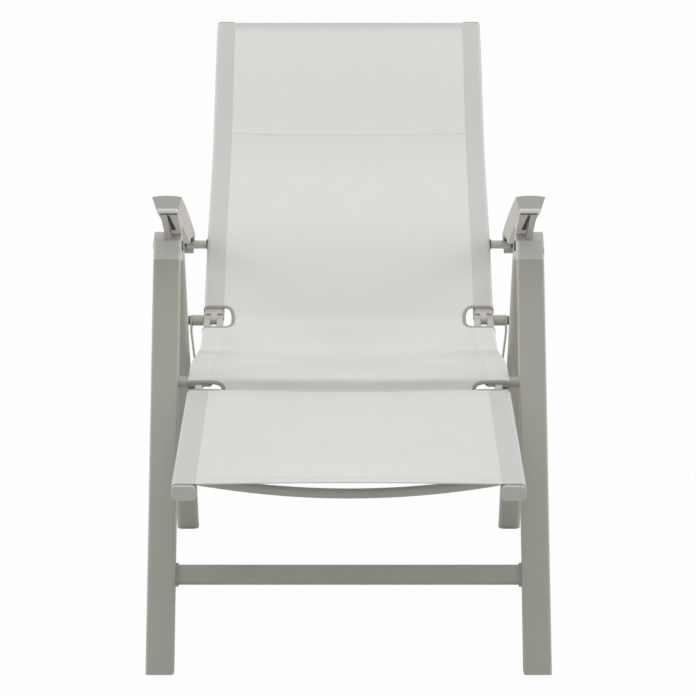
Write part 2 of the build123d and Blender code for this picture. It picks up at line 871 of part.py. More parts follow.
def arm_section(share):
    """Cross-section of an armrest at a share of its length, as a sketch on its own plane."""
    along = -arm_tip + share * (arm_tip + arm_length + arm_tail)
    inner = arm_inner_half_front + share * (arm_inner_half_rear - arm_inner_half_front)
    outer = arm_outer_half_front + share * (arm_outer_half_rear - arm_outer_half_front)
    bottom = -arm_front_bottom - share * (arm_rear_bottom - arm_front_bottom)
    top = arm_top + arm_arch * 4 * share * (1 - share)
    slope_share = 1 - share / 2
    plane = Plane(
        origin=(0, *arm_point(along, 0)), x_dir=(1, 0, 0), z_dir=(0, -arm_dir[0], -arm_dir[1])
    )
    flip = 1 if plane.y_dir.dot(Vector(0, *left_of(arm_dir))) > 0 else -1
    lower_right = (outer - arm_outer_slope * slope_share, flip * bottom)
    lower_left = (inner + arm_inner_slope * slope_share, flip * bottom)
    upper_left = (inner, flip * top)
    upper_right = (outer, flip * top)
    crown = ((inner + outer) / 2, flip * (top + arm_crown))
    outline = Curve() + [
        Line(upper_right, lower_right),
        Line(lower_right, lower_left),
        Line(lower_left, upper_left),
        ThreePointArc(upper_left, crown, upper_right),
    ]
    return plane * make_face(outline)


arm_stations = (0.0, 0.5, 1.0)
notch_places = [pin_in_arm(index * notch_step / 2) for index in range(notch_count * 2 - 1)]
pin_rise = max(up for along, up in notch_places)
pin_channel_roof = pin_rise + arm_pin_radius + pin_play + rack_cover
arm_top = pin_channel_roof + arm_skin


def armrest_body():
    """Moulded armrest with a pocket for the lug, a slot below and a way for the pin."""
    body = loft([arm_section(share) for share in arm_stations]) + arm_keel()
    lug_room = make_face(
        Polyline(
            arm_point(-pocket_front, -overrun),
            arm_point(pocket_rear, -overrun),
            arm_point(pocket_rear, 0),
            arm_point(lug_radius, lug_radius + pocket_side),
            arm_point(-lug_radius, lug_radius + pocket_side),
            arm_point(-pocket_front, 0),
            close=True,
        )
    )
    half = lug_width / 2 + pocket_side
    body -= slab(lug_room, front_centre - half, front_centre + half)
    margin = arm_pin_radius + pin_play + notch_depth
    front_end = pin_in_arm(channel_turn)[0] - margin
    rear_end = arm_length + margin
    channel = make_face(
        Polyline(
            arm_point(front_end, -overrun),
            arm_point(rear_end, -overrun),
            arm_point(rear_end, pin_channel_roof),
            arm_point(front_end, pin_channel_roof),
            close=True,
        )
    )
    body -= slab(channel, rack_inner_half - side_clearance, pin_channel_outer_half)
    way = clear_way()
    body -= slab(way, arm_inner_half_front - overrun, pin_channel_outer_half)
    body -= under_slot(front_end)
    body -= nose_slot()
    body -= rod(
        arm_pivot, arm_bush_radius + pin_clearance, arm_bush_inner_half, arm_bush_outer_half
    )
    return body


def clear_way():
    """Side view of the pin's room: under the notches, out ahead of them and out on folding."""
    room = arm_pin_radius + pin_play
    folding = turned(arm_pin, seat_pivot, -overrun / math.dist(arm_pin, seat_pivot))
    centres = [folding, *pin_path(0, exit_turn, notch_count * 2, 0)]
    way = make_face(
        Polyline(*centres, arm_point(pin_in_arm(exit_turn)[0], -overrun), close=True)
    )
    for start, end in zip(centres, centres[1:]):
        way += belt(start, room, end, room)
    return way


def arm_keel():
    """Deeper part of the armrest from behind its tip to just past the pivot."""
    side = make_face(
        Polyline(
            arm_point(keel_set_back - arm_tip, 0),
            arm_point(keel_set_back - arm_tip, -arm_front_bottom),
            arm_point(-keel_toe, -keel_depth),
            arm_point(keel_heel, -keel_depth),
            arm_point(keel_neck, -keel_neck_depth),
            arm_point(keel_end, -arm_front_bottom),
            arm_point(keel_end, 0),
            close=True,
        )
    )
    return slab(side, front_centre - keel_inboard, front_centre + keel_outboard)


def slot_cut(stations, low, high):
    """Narrow cut in the armrest from rows of: place along, centre in x, width."""
    plane = Plane(
        origin=(0, *arm_point(0, low)), x_dir=(1, 0, 0), z_dir=(0, *left_of(arm_dir))
    )
    flip = -1 if plane.y_dir.dot(Vector(0, *arm_dir)) < 0 else 1
    outer = [(x + width / 2, flip * along) for along, x, width in stations]
    inner = [(x - width / 2, flip * along) for along, x, width in reversed(stations)]
    outline = Polyline(*outer, *inner, close=True)
    return extrude(plane * make_face(outline), amount=high - low)


def under_slot(rear_end):
    """Narrow slot along the underside, closer to the outer edge towards the rear."""
    stations = ((pocket_rear, slot_front_half, slot_width), (rear_end, slot_rear_half, slot_width))
    return slot_cut(stations, -overrun, slot_depth - arm_front_bottom)


def nose_slot():
    """Slot ahead of the pocket, wider and closer to the chair's middle towards the rear."""
    front = (
        nose_slot_set_back - arm_tip,
        front_centre - nose_slot_front_inboard,
        nose_slot_front_width,
    )
    rear = (
        -pocket_front - nose_slot_wall,
        front_centre - nose_slot_rear_inboard,
        nose_slot_rear_width,
    )
    return slot_cut((front, rear), -overrun, nose_slot_roof)


def rack():
    """Notched insert on whose teeth and notches the back's pin is held."""
    lift = arm_pin_radius + pin_play
    roof = pin_channel_roof - rack_roof_gap
    run = pin_path(0, channel_turn, notch_count * 2 - 1, lift)
    margin = lift + notch_depth - rack_roof_gap
    rear, front = arm_length + margin, pin_in_arm(channel_turn)[0] - margin
    body = make_face(
        Polyline(
            arm_point(rear, roof),
            add(run[0], arm_dir, margin),
            *run,
            add(run[-1], arm_dir, -margin),
            arm_point(front, roof),
            close=True,
        )
    )
    for index in range(notch_count):
        along, up = pin_in_arm(index * notch_step)
        body -= Pos(*arm_point(along, up + notch_depth)) * Circle(lift)
    return slab(body, rack_inner_half, rack_outer_half)


def arm_pivot_pin():
    """Pin through the cap's lug that carries both cheeks of the armrest."""
    return rod(arm_pivot, arm_pivot_radius, arm_bush_inner_half, arm_bush_outer_half)


def arm_bushes():
    """Two plastic bushes on the arm pivot pin, one in each cheek of the armrest."""
    half = lug_width / 2 + pocket_side
    group = []
    for low, high in (
        (arm_bush_inner_half, front_centre - half),
        (front_centre + half, arm_bush_outer_half),
    ):
        ring = rod(arm_pivot, arm_bush_radius, low, high)
        group.append(ring - rod(arm_pivot, arm_pivot_radius + pin_clearance, low, high))
    return group


def pair(shape):
    """A piece and its mirror image, as one group."""
    return Compound(children=[shape, mirrored(shape)])


def frame_nodes():
    """Pieces of the front frame and of the rear frame."""
    nodes = {}
    for name, sign in sides.items():
        low = leg_inner_half if sign > 0 else -leg_outer_half
        front_leg = leg(
            front_foot_y,
            front_dir,
            sign * front_centre,
            front_leg_width,
            front_leg_depth,
            front_leg_corner,
            front_leg_top,
        )
        seat_hole = rod(seat_pivot, seat_bolt_radius + pin_clearance, -overrun, leg_outer_half)
        nodes["front_leg_" + name] = front_leg - (
            seat_hole if sign > 0 else mirrored(seat_hole)
        )
        nodes["front_leg_cap_" + name] = front_cap(low)
        nodes["front_foot_" + name] = foot(
            front_foot_y,
            front_dir,
            sign * front_centre,
            front_leg_width,
            front_leg_depth,
            front_leg_corner,
        )
        rear_leg = leg(
            rear_foot_y,
            rear_dir,
            sign * rear_centre,
            rear_leg_width,
            rear_leg_depth,
            rear_leg_corner,
            add(rear_leg_top, rear_dir, -cap_seam / 3),
        )
        link_hole = rod(link_foot, insert_radius + pin_clearance, -overrun, rear_centre)
        nodes["rear_leg_" + name] = rear_leg - (
            link_hole if sign > 0 else mirrored(link_hole)
        )
        nodes["rear_leg_cap_" + name] = rear_cap(low, sign * rear_centre)
        nodes["rear_foot_" + name] = foot(
            rear_foot_y,
            rear_dir,
            sign * rear_centre,
            rear_leg_width,
            rear_leg_depth,
            rear_leg_corner,
        )
    nodes["leg_joint_pins"] = Compound(
        children=[fold_pin(leg_inner_half), fold_pin(-leg_outer_half)]
    )
    front_bar = add(
        on_front_leg(front_bar_height), left_of(front_dir), -front_bar_set_back
    )
    bar_half = leg_inner_half - bracket_thickness
    nodes["front_cross_bar"] = cross_bar(
        front_bar, front_dir, cross_bar_height, cross_bar_depth, bar_half
    )
    nodes["front_bar_brackets"] = brackets(
        front_bar, front_dir, cross_bar_height, cross_bar_depth, leg_inner_half
    )
    rear_bar = add(link_foot, rear_dir, rear_bar_above_link)
    nodes["rear_cross_bar"] = cross_bar(
        rear_bar, rear_dir, rear_bar_height, rear_bar_depth, rear_inner_half
    )
    nodes["seat_pivot_bolts"] = pair(seat_bolt())
    nodes["seat_pivot_spacers"] = pair(seat_spacer())
    nodes["link_inserts"] = pair(link_insert())
    nodes["arm_pivot_pins"] = pair(arm_pivot_pin())
    return nodes


def seat_nodes():
    """Pieces of the seat, its hinges and the links."""
    points = seat_points()
    nodes = {}
    body = rail(points, seat_bend_radius)
    front_leaf = hinge_leaf(seat_pivot, points, False, (0, 2), 3, seat_bolt_radius)
    rear_leaf = hinge_leaf(back_pivot, points, True, (0, 2), 3, seat_bolt_radius)
    for name, sign in sides.items():
        nodes["seat_rail_" + name] = body if sign > 0 else mirrored(body)
        nodes["link_" + name] = link() if sign > 0 else mirrored(link())
        nodes["link_bolt_" + name] = link_bolt() if sign > 0 else mirrored(link_bolt())
    nodes["seat_front_hinges"] = pair(front_leaf)
    nodes["seat_rear_hinges"] = pair(rear_leaf)
    nodes["seat_front_bar"] = bowed_bar(
        seat_pivot, back_pivot, seat_front_bar_share, seat_bow, bow_bar_height, points
    )
    nodes["seat_rear_bar"] = bowed_bar(
        seat_pivot, back_pivot, seat_rear_bar_share, seat_bow, bow_bar_height, points
    )
    nodes["seat_sling"] = sling(points, seat_bend_radius, True, True)
    nodes["seat_hem_cords"] = hem_cords(points, seat_bend_radius)
    nodes["back_hinge_bolts"] = pair(back_bolt())
    nodes["back_hinge_collars"] = pair(back_collar())
    nodes["back_hinge_nuts"] = pair(back_nut())
    return nodes


def back_nodes():
    """Pieces of the back rest."""
    points = back_points()
    nodes = {}
    body = rail(points, back_bend_radius, [(arm_pin, arm_pin_radius)])
    for name, sign in sides.items():
        nodes["back_rail_" + name] = body if sign > 0 else mirrored(body)
    nodes["back_hinges"] = pair(
        hinge_leaf(back_pivot, points, False, (1,), 3, seat_bolt_radius)
    )
    nodes["back_top_bar"] = bowed_bar(
        back_pivot, back_end, top_bar_share, back_bow, bow_bar_height, points
    )
    nodes["back_lower_bar"] = bowed_bar(
        back_pivot, back_end, low_bar_share, back_bow, low_bar_height, points
    )
    nodes["back_sling"] = sling(points, back_bend_radius, True, False)
    nodes["back_hem_cords"] = hem_cords(points, back_bend_radius)
    nodes["back_rail_caps"] = pair(end_cap(points, True))
    nodes["arm_pins"] = pair(arm_pin_body())
    nodes["arm_pin_rings"] = pair(arm_ring())
    return nodes


def leg_rest_nodes():
    """Pieces of the leg rest."""
    points = leg_rest_points()
    nodes = {}
    body = rail(points, seat_bend_radius)
    for name, sign in sides.items():
        nodes["leg_rest_rail_" + name] = body if sign > 0 else mirrored(body)
    nodes["leg_rest_hinges"] = pair(
        hinge_leaf(seat_pivot, points, True, (1,), 3, seat_bolt_radius)
    )
    nodes["leg_rest_front_bar"] = bowed_bar(
        seat_pivot,
        leg_rest_end,
        leg_rest_front_bar_share,
        leg_rest_bow,
        leg_rest_bar_height,
        points,
        up=-1,
    )
    nodes["leg_rest_rear_bar"] = bowed_bar(
        seat_pivot,
        leg_rest_end,
        leg_rest_rear_bar_share,
        leg_rest_bow,
        leg_rest_bar_height,
        points,
        up=-1,
    )
    nodes["leg_rest_sling"] = sling(points, seat_bend_radius, False, True)
    nodes["leg_rest_hem_cords"] = hem_cords(points, seat_bend_radius)
    nodes["leg_rest_rail_caps"] = pair(end_cap(points, False))
    return nodes


def arm_nodes():
    """Pieces of both armrests."""
    nodes = {}
    moulding, insert, bushes = armrest_body(), rack(), arm_bushes()
    for name, sign in sides.items():
        keep = (lambda shape: shape) if sign > 0 else mirrored
        nodes["armrest_" + name] = keep(moulding)
        nodes["arm_rack_" + name] = keep(insert)
        nodes["arm_bushes_" + name] = Compound(children=[keep(b) for b in bushes])
    return nodes


def main():
    """Make every piece, set the origin and write one file for each node."""
    nodes = {}
    for group in (frame_nodes, seat_nodes, back_nodes, leg_rest_nodes, arm_nodes):
        nodes.update(group())
    boxes = [shape.bounding_box() for shape in nodes.values()]
    middle_y = (min(b.min.Y for b in boxes) + max(b.max.Y for b in boxes)) / 2
    for name, shape in nodes.items():
        export_step(Pos(0, -middle_y, 0) * shape, "parts/" + name + ".step")
    print("nodes", len(nodes))
    for label, point in (
        ("fold_pivot", fold_pivot),
        ("seat_pivot", seat_pivot),
        ("back_pivot", back_pivot),
        ("arm_pivot", arm_pivot),
        ("arm_pin", arm_pin),
        ("link_foot", link_foot),
    ):
        print(label, round(point[0] - middle_y, 4), round(point[1], 4))
    print("middle_y", round(middle_y, 3))
    print("arm_ratio", round(arm_follow_ratio, 6))


if __name__ == "__main__":
    main()
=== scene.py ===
"""Looks of the reclining garden armchair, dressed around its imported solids.

The slings with their bound cutouts, hems, seams and stitches, and the small trim at the
armrests' tips, are worked out here as surfaces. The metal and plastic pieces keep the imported
solids and get their finishes. Lengths are in metres, and a point of the side view is (y, z).
"""

import json
import logging
import math
from dataclasses import dataclass, field
from enum import Enum

import bpy
import numpy as np
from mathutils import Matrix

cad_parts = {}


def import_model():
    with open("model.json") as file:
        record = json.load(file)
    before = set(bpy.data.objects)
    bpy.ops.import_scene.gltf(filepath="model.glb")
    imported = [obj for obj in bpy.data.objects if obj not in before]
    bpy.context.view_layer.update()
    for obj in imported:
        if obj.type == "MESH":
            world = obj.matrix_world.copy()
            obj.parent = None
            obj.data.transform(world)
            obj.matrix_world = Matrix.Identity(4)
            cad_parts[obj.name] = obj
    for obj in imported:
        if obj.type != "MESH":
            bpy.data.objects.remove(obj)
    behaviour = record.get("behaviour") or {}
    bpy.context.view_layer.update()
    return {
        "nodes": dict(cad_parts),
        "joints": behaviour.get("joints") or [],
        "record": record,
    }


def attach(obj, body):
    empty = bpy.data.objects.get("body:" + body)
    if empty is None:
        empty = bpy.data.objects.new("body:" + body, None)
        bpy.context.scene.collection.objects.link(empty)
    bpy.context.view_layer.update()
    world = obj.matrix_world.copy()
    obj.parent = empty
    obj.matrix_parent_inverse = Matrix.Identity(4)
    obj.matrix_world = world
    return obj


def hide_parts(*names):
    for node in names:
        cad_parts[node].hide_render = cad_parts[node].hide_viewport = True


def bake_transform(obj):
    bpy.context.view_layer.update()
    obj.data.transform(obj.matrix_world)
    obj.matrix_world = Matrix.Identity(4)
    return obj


log = logging.getLogger("armchair")
Array = np.ndarray
Pair = tuple[float, float]
Triple = tuple[float, float, float]
Row = tuple[float, ...]
Value = float | Row
Piece = bpy.types.Object
Material = bpy.types.Material
Sheet = tuple[Piece, float]  # a piece of cloth and its flat area

CLOTH_MAP = "cloth"
SLING_SLOT = "sling_fabric"
RIM_ANGLE = math.radians(60)
SLACK = 1e-9


class Side(Enum):
    """The sitter's two sides, with the sign of x."""

    LEFT = 1
    RIGHT = -1

    @property
    def word(self) -> str:
        """The side as it stands at the end of a name."""
        return self.name.lower()


class Body(Enum):
    """Bodies of the frame that the cloth rides on."""

    SEAT = "seat"
    BACK = "back"
    LEG_REST = "leg_rest"


class Wire:
    """An output socket that can stand in Python sums; every sum adds a Math node."""

    def __init__(self, board: "Board", socket: bpy.types.NodeSocket) -> None:
        """Keep the board that new nodes go to and the socket itself."""
        self.board = board
        self.socket = socket

    def _sum(self, operation: str, *values: "Wire | float") -> "Wire":
        """Math node of one or two values."""
        return self.board.add("ShaderNodeMath", {"operation": operation}, dict(enumerate(values)))

    def __add__(self, other: "Wire | float") -> "Wire":
        """Sum."""
        return self._sum("ADD", self, other)

    def __radd__(self, other: float) -> "Wire":
        """Sum, reflected."""
        return self._sum("ADD", other, self)

    def __sub__(self, other: "Wire | float") -> "Wire":
        """Difference."""
        return self._sum("SUBTRACT", self, other)

    def __rsub__(self, other: float) -> "Wire":
        """Difference, reflected."""
        return self._sum("SUBTRACT", other, self)

    def __mul__(self, other: "Wire | float") -> "Wire":
        """Product."""
        return self._sum("MULTIPLY", self, other)

    def __rmul__(self, other: float) -> "Wire":
        """Product, reflected."""
        return self._sum("MULTIPLY", other, self)

    def __mod__(self, other: float) -> "Wire":
        """Remainder, never negative."""
        return self._sum("FLOORED_MODULO", self, other)

    def __gt__(self, other: float) -> "Wire":
        """One where the value is above a limit, nought elsewhere."""
        return self._sum("GREATER_THAN", self, other)

    def one(self, operation: str) -> "Wire":
        """Math node of one value, such as FLOOR, SINE or ABSOLUTE."""
        return self._sum(operation, self)

    def larger(self, other: "Wire | float") -> "Wire":
        """The larger of two values."""
        return self._sum("MAXIMUM", self, other)

    def smaller(self, other: "Wire | float") -> "Wire":
        """The smaller of two values."""
        return self._sum("MINIMUM", self, other)

    def ribs(self, pitch: float) -> "Wire":
        """Round ribs over a length, from nought to one: |sin(pi * length / pitch)|."""
        return (self * (math.pi / pitch)).one("SINE").one("ABSOLUTE")


class Board:
    """A node tree that nodes are added to."""

    def __init__(self, tree: bpy.types.NodeTree) -> None:
        """Keep the tree."""
        self.tree = tree

    def add(
        self,
        kind: str,
        settings: dict[str, object] | None = None,
        inputs: dict[int | str, "Wire | Value"] | None = None,
        output: int | str = 0,
    ) -> Wire:
        """Add any node.

        Args:
            kind: the node's type.
            settings: its properties, set before its sockets.
            inputs: values or wires of its input sockets, by number or name.
            output: the output socket wanted.

        Returns:
            That output as a wire.
        """
        node = self.tree.nodes.new(kind)
        for key, value in (settings or {}).items():
            setattr(node, key, value)
        for key, value in (inputs or {}).items():
            self.join(value, node.inputs[key])
        return Wire(self, node.outputs[output])

    def join(self, value: "Wire | Value", socket: bpy.types.NodeSocket) -> None:
        """Link a wire to a socket, or set a plain value on it.

        Args:
            value: the wire or the value.
            socket: an input socket.
        """
        if isinstance(value, Wire):
            self.tree.links.new(value.socket, socket)
        else:
            socket.default_value = value

    def ray(self, kind: str) -> Wire:
        """One for rays of a kind, such as Is Camera Ray, and nought for the others."""
        return self.add("ShaderNodeLightPath", output=kind)


@dataclass(frozen=True)
class Noise:
    """A noise in a finish: size of its grains, finer layers, and its share of the tone."""

    size: float
    detail: float
    share: float = 0.0


class MaterialBoard(Board):
    """The node tree of one new material, with its shader ready to be wired."""

    def __init__(self, name: str) -> None:
        """Start a material that has only its shader and its output.

        Args:
            name: the material's name.
        """
        self.material = bpy.data.materials.new(name)
        self.material.use_nodes = True
        super().__init__(self.material.node_tree)
        self.shader = self.tree.nodes["Principled BSDF"]

    def feed(self, **sockets: "Wire | Value") -> None:
        """Wire or set the shader's sockets, with underscores for the blanks in their names."""
        for name, value in sockets.items():
            self.join(value, self.shader.inputs[name.replace("_", " ")])

    def places(self) -> Wire:
        """Object coordinates."""
        return self.add("ShaderNodeTexCoord", output="Object")

    def cloth_map(self) -> tuple[Wire, Wire, Wire]:
        """The piece's own UV map in metres, and its parts across and along the chair."""
        cloth = self.add("ShaderNodeUVMap", {"uv_map": CLOTH_MAP})
        return cloth, *(self.add("ShaderNodeSeparateXYZ", {}, {0: cloth}, part) for part in "XY")

    def speckle(self, noise: Noise, where: Wire | None = None) -> Wire:
        """A noise around one half, over the given coordinates or Object coordinates."""
        sockets = {"Vector": where or self.places(), "Scale": 1.0 / noise.size}
        return self.add("ShaderNodeTexNoise", {}, {**sockets, "Detail": noise.detail})

    def tint(self, colour: Triple, share: Wire) -> Wire:
        """A colour made lighter or darker by a share around one."""
        sockets = {0: colour, "Scale": share}
        return self.add("ShaderNodeVectorMath", {"operation": "SCALE"}, sockets)

    def relief(self, height: Wire, depth: float, strength: float = 1.0) -> Wire:
        """Bump from a height of nought to one and a depth."""
        sockets = {"Height": height, "Distance": depth, "Strength": strength}
        return self.add("ShaderNodeBump", {}, sockets, "Normal")


def linear(red: int, green: int, blue: int) -> Triple:
    """Screen colour of 0 to 255 as the shader's linear colour, by the sRGB curve."""
    shares = (red / 255, green / 255, blue / 255)
    return tuple(s / 12.92 if s <= 0.04045 else ((s + 0.055) / 1.055) ** 2.4 for s in shares)


@dataclass(frozen=True)
class PowderCoat:
    """Satin powder coat: a fine orange peel with a slow drift of tone."""

    name: str
    colour: Triple
    tone: float = 0.97
    drift: Noise = Noise(0.09, 2.0, 0.04)
    grain: Noise = Noise(0.0007, 2.0, 0.02)
    peel: Noise = Noise(0.0016, 1.0)
    depth: float = 0.00004
    roughness: float = 0.37
    rougher: float = 0.1
    gloss: float = 0.45

    def material(self) -> Material:
        """Make the finish.

        Returns:
            Its material.
        """
        board = MaterialBoard(self.name)
        drift, grain = board.speckle(self.drift), board.speckle(self.grain)
        tone = self.tone + drift * self.drift.share + grain * self.grain.share
        board.feed(
            Base_Color=board.tint(self.colour, tone),
            Roughness=self.roughness + grain * self.rougher,
            Normal=board.relief(board.speckle(self.peel), self.depth),
            Specular_IOR_Level=self.gloss,
        )
        return board.material


@dataclass(frozen=True)
class Moulding:
    """Moulded plastic or rubber with a fine sparked grain and faint handling marks."""

    name: str
    colour: Triple
    roughness: float = 0.42
    rougher: float = 0.16
    tone: float = 0.96
    grain: Noise = Noise(0.0006, 2.0, 0.04)
    marks: Noise = Noise(0.035, 4.0, 0.04)
    depth: float = 0.00005

    def material(self) -> Material:
        """Make the finish.

        Returns:
            Its material.
        """
        board = MaterialBoard(self.name)
        grain, marks = board.speckle(self.grain), board.speckle(self.marks)
        tone = self.tone + grain * self.grain.share + marks * self.marks.share
        board.feed(
            Base_Color=board.tint(self.colour, tone),
            Roughness=self.roughness + marks * self.rougher,
            Normal=board.relief(grain, self.depth),
        )
        return board.material


@dataclass(frozen=True)
class BrushedSteel:
    """Plain steel with fine turning marks: a noise drawn out along the chair's x."""

    name: str
    colour: Triple
    lines_per_metre: Triple = (40.0, 1400.0, 1400.0)
    tone: float = 0.9
    roughness: float = 0.28
    swing: float = 0.2
    depth: float = 0.00002

    def material(self) -> Material:
        """Make the finish.

        Returns:
            Its material.
        """
        board = MaterialBoard(self.name)
        stretch = {0: board.places(), 1: self.lines_per_metre}
        spots = board.add("ShaderNodeVectorMath", {"operation": "MULTIPLY"}, stretch)
        lines = board.add("ShaderNodeTexNoise", {}, {"Vector": spots, "Scale": 1.0})
        board.feed(
            Base_Color=board.tint(self.colour, self.tone + lines * self.swing),
            Roughness=self.roughness + lines * self.swing,
            Metallic=1.0,
            Normal=board.relief(lines, self.depth),
        )
        return board.material


@dataclass(frozen=True)
class Weave:
    """Coated yarn in a plain weave, laid out on the piece's own UV map.

    Warp and weft yarns have the height |sin(pi u / pitch)| and |sin(pi v / pitch)|; a checker
    of the cells says which is on top. Light comes through between the yarns, but not in the
    hems, which are darkened with painted shade of the rails behind them, less on the seat.
    The turned edge at the back's top is darker too.
    """

    name: str
    colour: Triple
    pitch: float = 0.0014
    tone: float = 0.91
    yarn_tone: float = 0.05
    blotch: Noise = Noise(0.05, 3.0, 0.03)
    slub: Noise = Noise(0.004, 1.0, 0.03)
    hem_from: float = 0.2128
    # Painted shade of the rails behind the hems, lighter on the seat.
    hem_shade_tone: float = 0.77
    seat_hem_shade_tone: float = 0.95
    seat_span: Pair = (0.43, 0.9)
    top_hem: Pair = (1.670, 0.014)
    top_tone: float = 0.84
    gap_below: float = 0.75
    gap_slope: float = 4.0
    open_share: float = 0.5
    roughness: float = 0.82
    smoother: float = 0.16
    depth: float = 0.0003
    strength: float = 0.5
    gloss: float = 0.3

    def material(self) -> Material:
        """Make the finish.

        Returns:
            Its material.
        """
        board = MaterialBoard(self.name)
        cloth, across, along = board.cloth_map()
        warp, weft = across.ribs(self.pitch), along.ribs(self.pitch)
        cell = 1 / self.pitch
        over = ((across * cell).one("FLOOR") + (along * cell).one("FLOOR")) % 2.0
        height = warp * over + weft * (1 - over)
        hem = across.one("ABSOLUTE") > self.hem_from
        gap = ((self.gap_below - warp.larger(weft)) * self.gap_slope).larger(0.0).smaller(1.0)
        blotch, slub = board.speckle(self.blotch, cloth), board.speckle(self.slub, cloth)
        # Painted shade over the hems, less of it on the seat.
        on_seat = (along > self.seat_span[0]) * (1 - (along > self.seat_span[1]))
        darker = 1 - self.hem_shade_tone - on_seat * (self.seat_hem_shade_tone - self.hem_shade_tone)
        start, reach = self.top_hem
        turned = ((along - start) * (1 / reach)).larger(0.0).smaller(1.0)
        tone = self.tone + height * self.yarn_tone
        tone = tone + blotch * self.blotch.share + slub * self.slub.share
        tone = tone * (1 - hem * darker) * (1 - turned * (1 - self.top_tone) * (1 - hem))
        board.feed(
            Base_Color=board.tint(self.colour, tone),
            Roughness=self.roughness - height * self.smoother,
            Alpha=1 - gap * (1 - hem) * self.open_share,
            Normal=board.relief(height, self.depth, self.strength),
            Specular_IOR_Level=self.gloss,
        )
        return board.material


@dataclass(frozen=True)
class Tape:
    """Woven binding tape and sewing thread: ribs along the piece's own UV map."""

    name: str
    colour: Triple
    rib: float = 0.0011
    tone: float = 0.88
    rib_tone: float = 0.12
    roughness: float = 0.85
    smoother: float = 0.1
    depth: float = 0.0002
    strength: float = 0.6

    def material(self) -> Material:
        """Make the finish.

        Returns:
            Its material.
        """
        board = MaterialBoard(self.name)
        ribs = board.cloth_map()[2].ribs(self.rib)
        board.feed(
            Base_Color=board.tint(self.colour, self.tone + ribs * self.rib_tone),
            Roughness=self.roughness - ribs * self.smoother,
            Normal=board.relief(ribs, self.depth, self.strength),
        )
        return board.material


def finishes() -> dict[str, Material]:
    """The finish of every material slot of the record, and the leg caps' own.

    Returns:
        Materials by slot.
    """
    rows = {
        "frame_aluminium": PowderCoat("taupe_powder_coat", linear(176, 175, 165)),
        "cap_plastic": Moulding("taupe_moulding", linear(193, 191, 184)),
        "leg_caps": Moulding("leg_cap_moulding", linear(202, 200, 194)),
        "hinge_plastic": Moulding("hinge_moulding", linear(196, 194, 186)),
        "foot_plastic": Moulding("foot_moulding", linear(180, 179, 170)),
        # Near black: the inner parts' own dark plastic, and painted shade on the armrests' strips.
        "inner_plastic": Moulding("dark_inner_moulding_and_slot_shade", linear(34, 34, 33)),
        "steel": BrushedSteel("dark_plated_steel", linear(104, 103, 99)),
        "ring_rubber": Moulding("black_rubber", linear(44, 44, 44), roughness=0.67),
        SLING_SLOT: Weave("sling_weave", linear(235, 234, 231)),
    }
    return {slot: finish.material() for slot, finish in rows.items()}


@dataclass
class Route:
    """Straight runs with rounded corners in a plane, as a function of the length along them.

    The heading is constant on a run and changes evenly with the length on an arc, so the
    points are the running sum of cos and sin of the heading. A knot is the middle of an arc.
    """

    corners: Array
    radii: Row
    step: float = 0.0002
    knots: Array = field(init=False)
    length: float = field(init=False)

    def __post_init__(self) -> None:
        """Work out the headings at the ends of the arcs and sum them up."""
        runs = np.diff(self.corners, axis=0)
        heads = np.unwrap(np.arctan2(runs[:, 1], runs[:, 0]))
        turns, radii = np.diff(heads), np.array(self.radii)
        cuts = np.concatenate(([0.0], radii * np.abs(np.tan(turns / 2)), [0.0]))
        parts = np.zeros(2 * len(turns) + 1)
        parts[::2] = np.hypot(runs[:, 0], runs[:, 1]) - cuts[:-1] - cuts[1:]
        parts[1::2] = np.abs(turns) * radii
        ends = np.concatenate(([0.0], np.cumsum(parts)))
        self.knots = ends[1:-1:2] + parts[1::2] / 2
        self.length = ends[-1]
        self._s = np.arange(0.0, self.length + self.step, self.step)
        self._angle = np.interp(self._s, ends, np.repeat(heads, 2))
        middle = (self._angle[1:] + self._angle[:-1]) / 2
        way = np.stack((np.cos(middle), np.sin(middle)))
        sums = np.concatenate((np.zeros((2, 1)), np.cumsum(way, axis=1)), axis=1)
        self._a, self._b = self.corners[0][:, None] + sums * self.step

    def at(self, s: Array) -> tuple[Array, Array, Array]:
        """Both coordinates and the heading at lengths along the route."""
        return tuple(np.interp(s, self._s, line) for line in (self._a, self._b, self._angle))


Run = tuple[Array, Array]


def chord_point(start: Array, end: Array, along: float, off: float) -> Array:
    """Point beside a chord, in shares of its length; off is to the chord's left."""
    run = end - start
    return start + along * run + off * np.array([-run[1], run[0]])


def raised(points: list[Array], height: float) -> list[Run]:
    """Straight runs between points, moved sideways.

    Args:
        points: the points, in order.
        height: how far each run is moved to its left.

    Returns:
        The start and end of every run.
    """
    runs = []
    for start, end in zip(points, points[1:]):
        way = (end - start) / np.hypot(*(end - start))
        normal = np.array([-way[1], way[0]]) * height
        runs.append((start + normal, end + normal))
    return runs


def meeting(first: Run, second: Run) -> Array:
    """Point where the lines of two runs cross.

    Args:
        first: start and end of the first run.
        second: start and end of the second run.

    Returns:
        The point.
    """
    one, two = first[1] - first[0], second[1] - second[0]
    share = np.linalg.solve(np.array([one, -two]).T, second[0] - first[0])[0]
    return first[0] + one * share


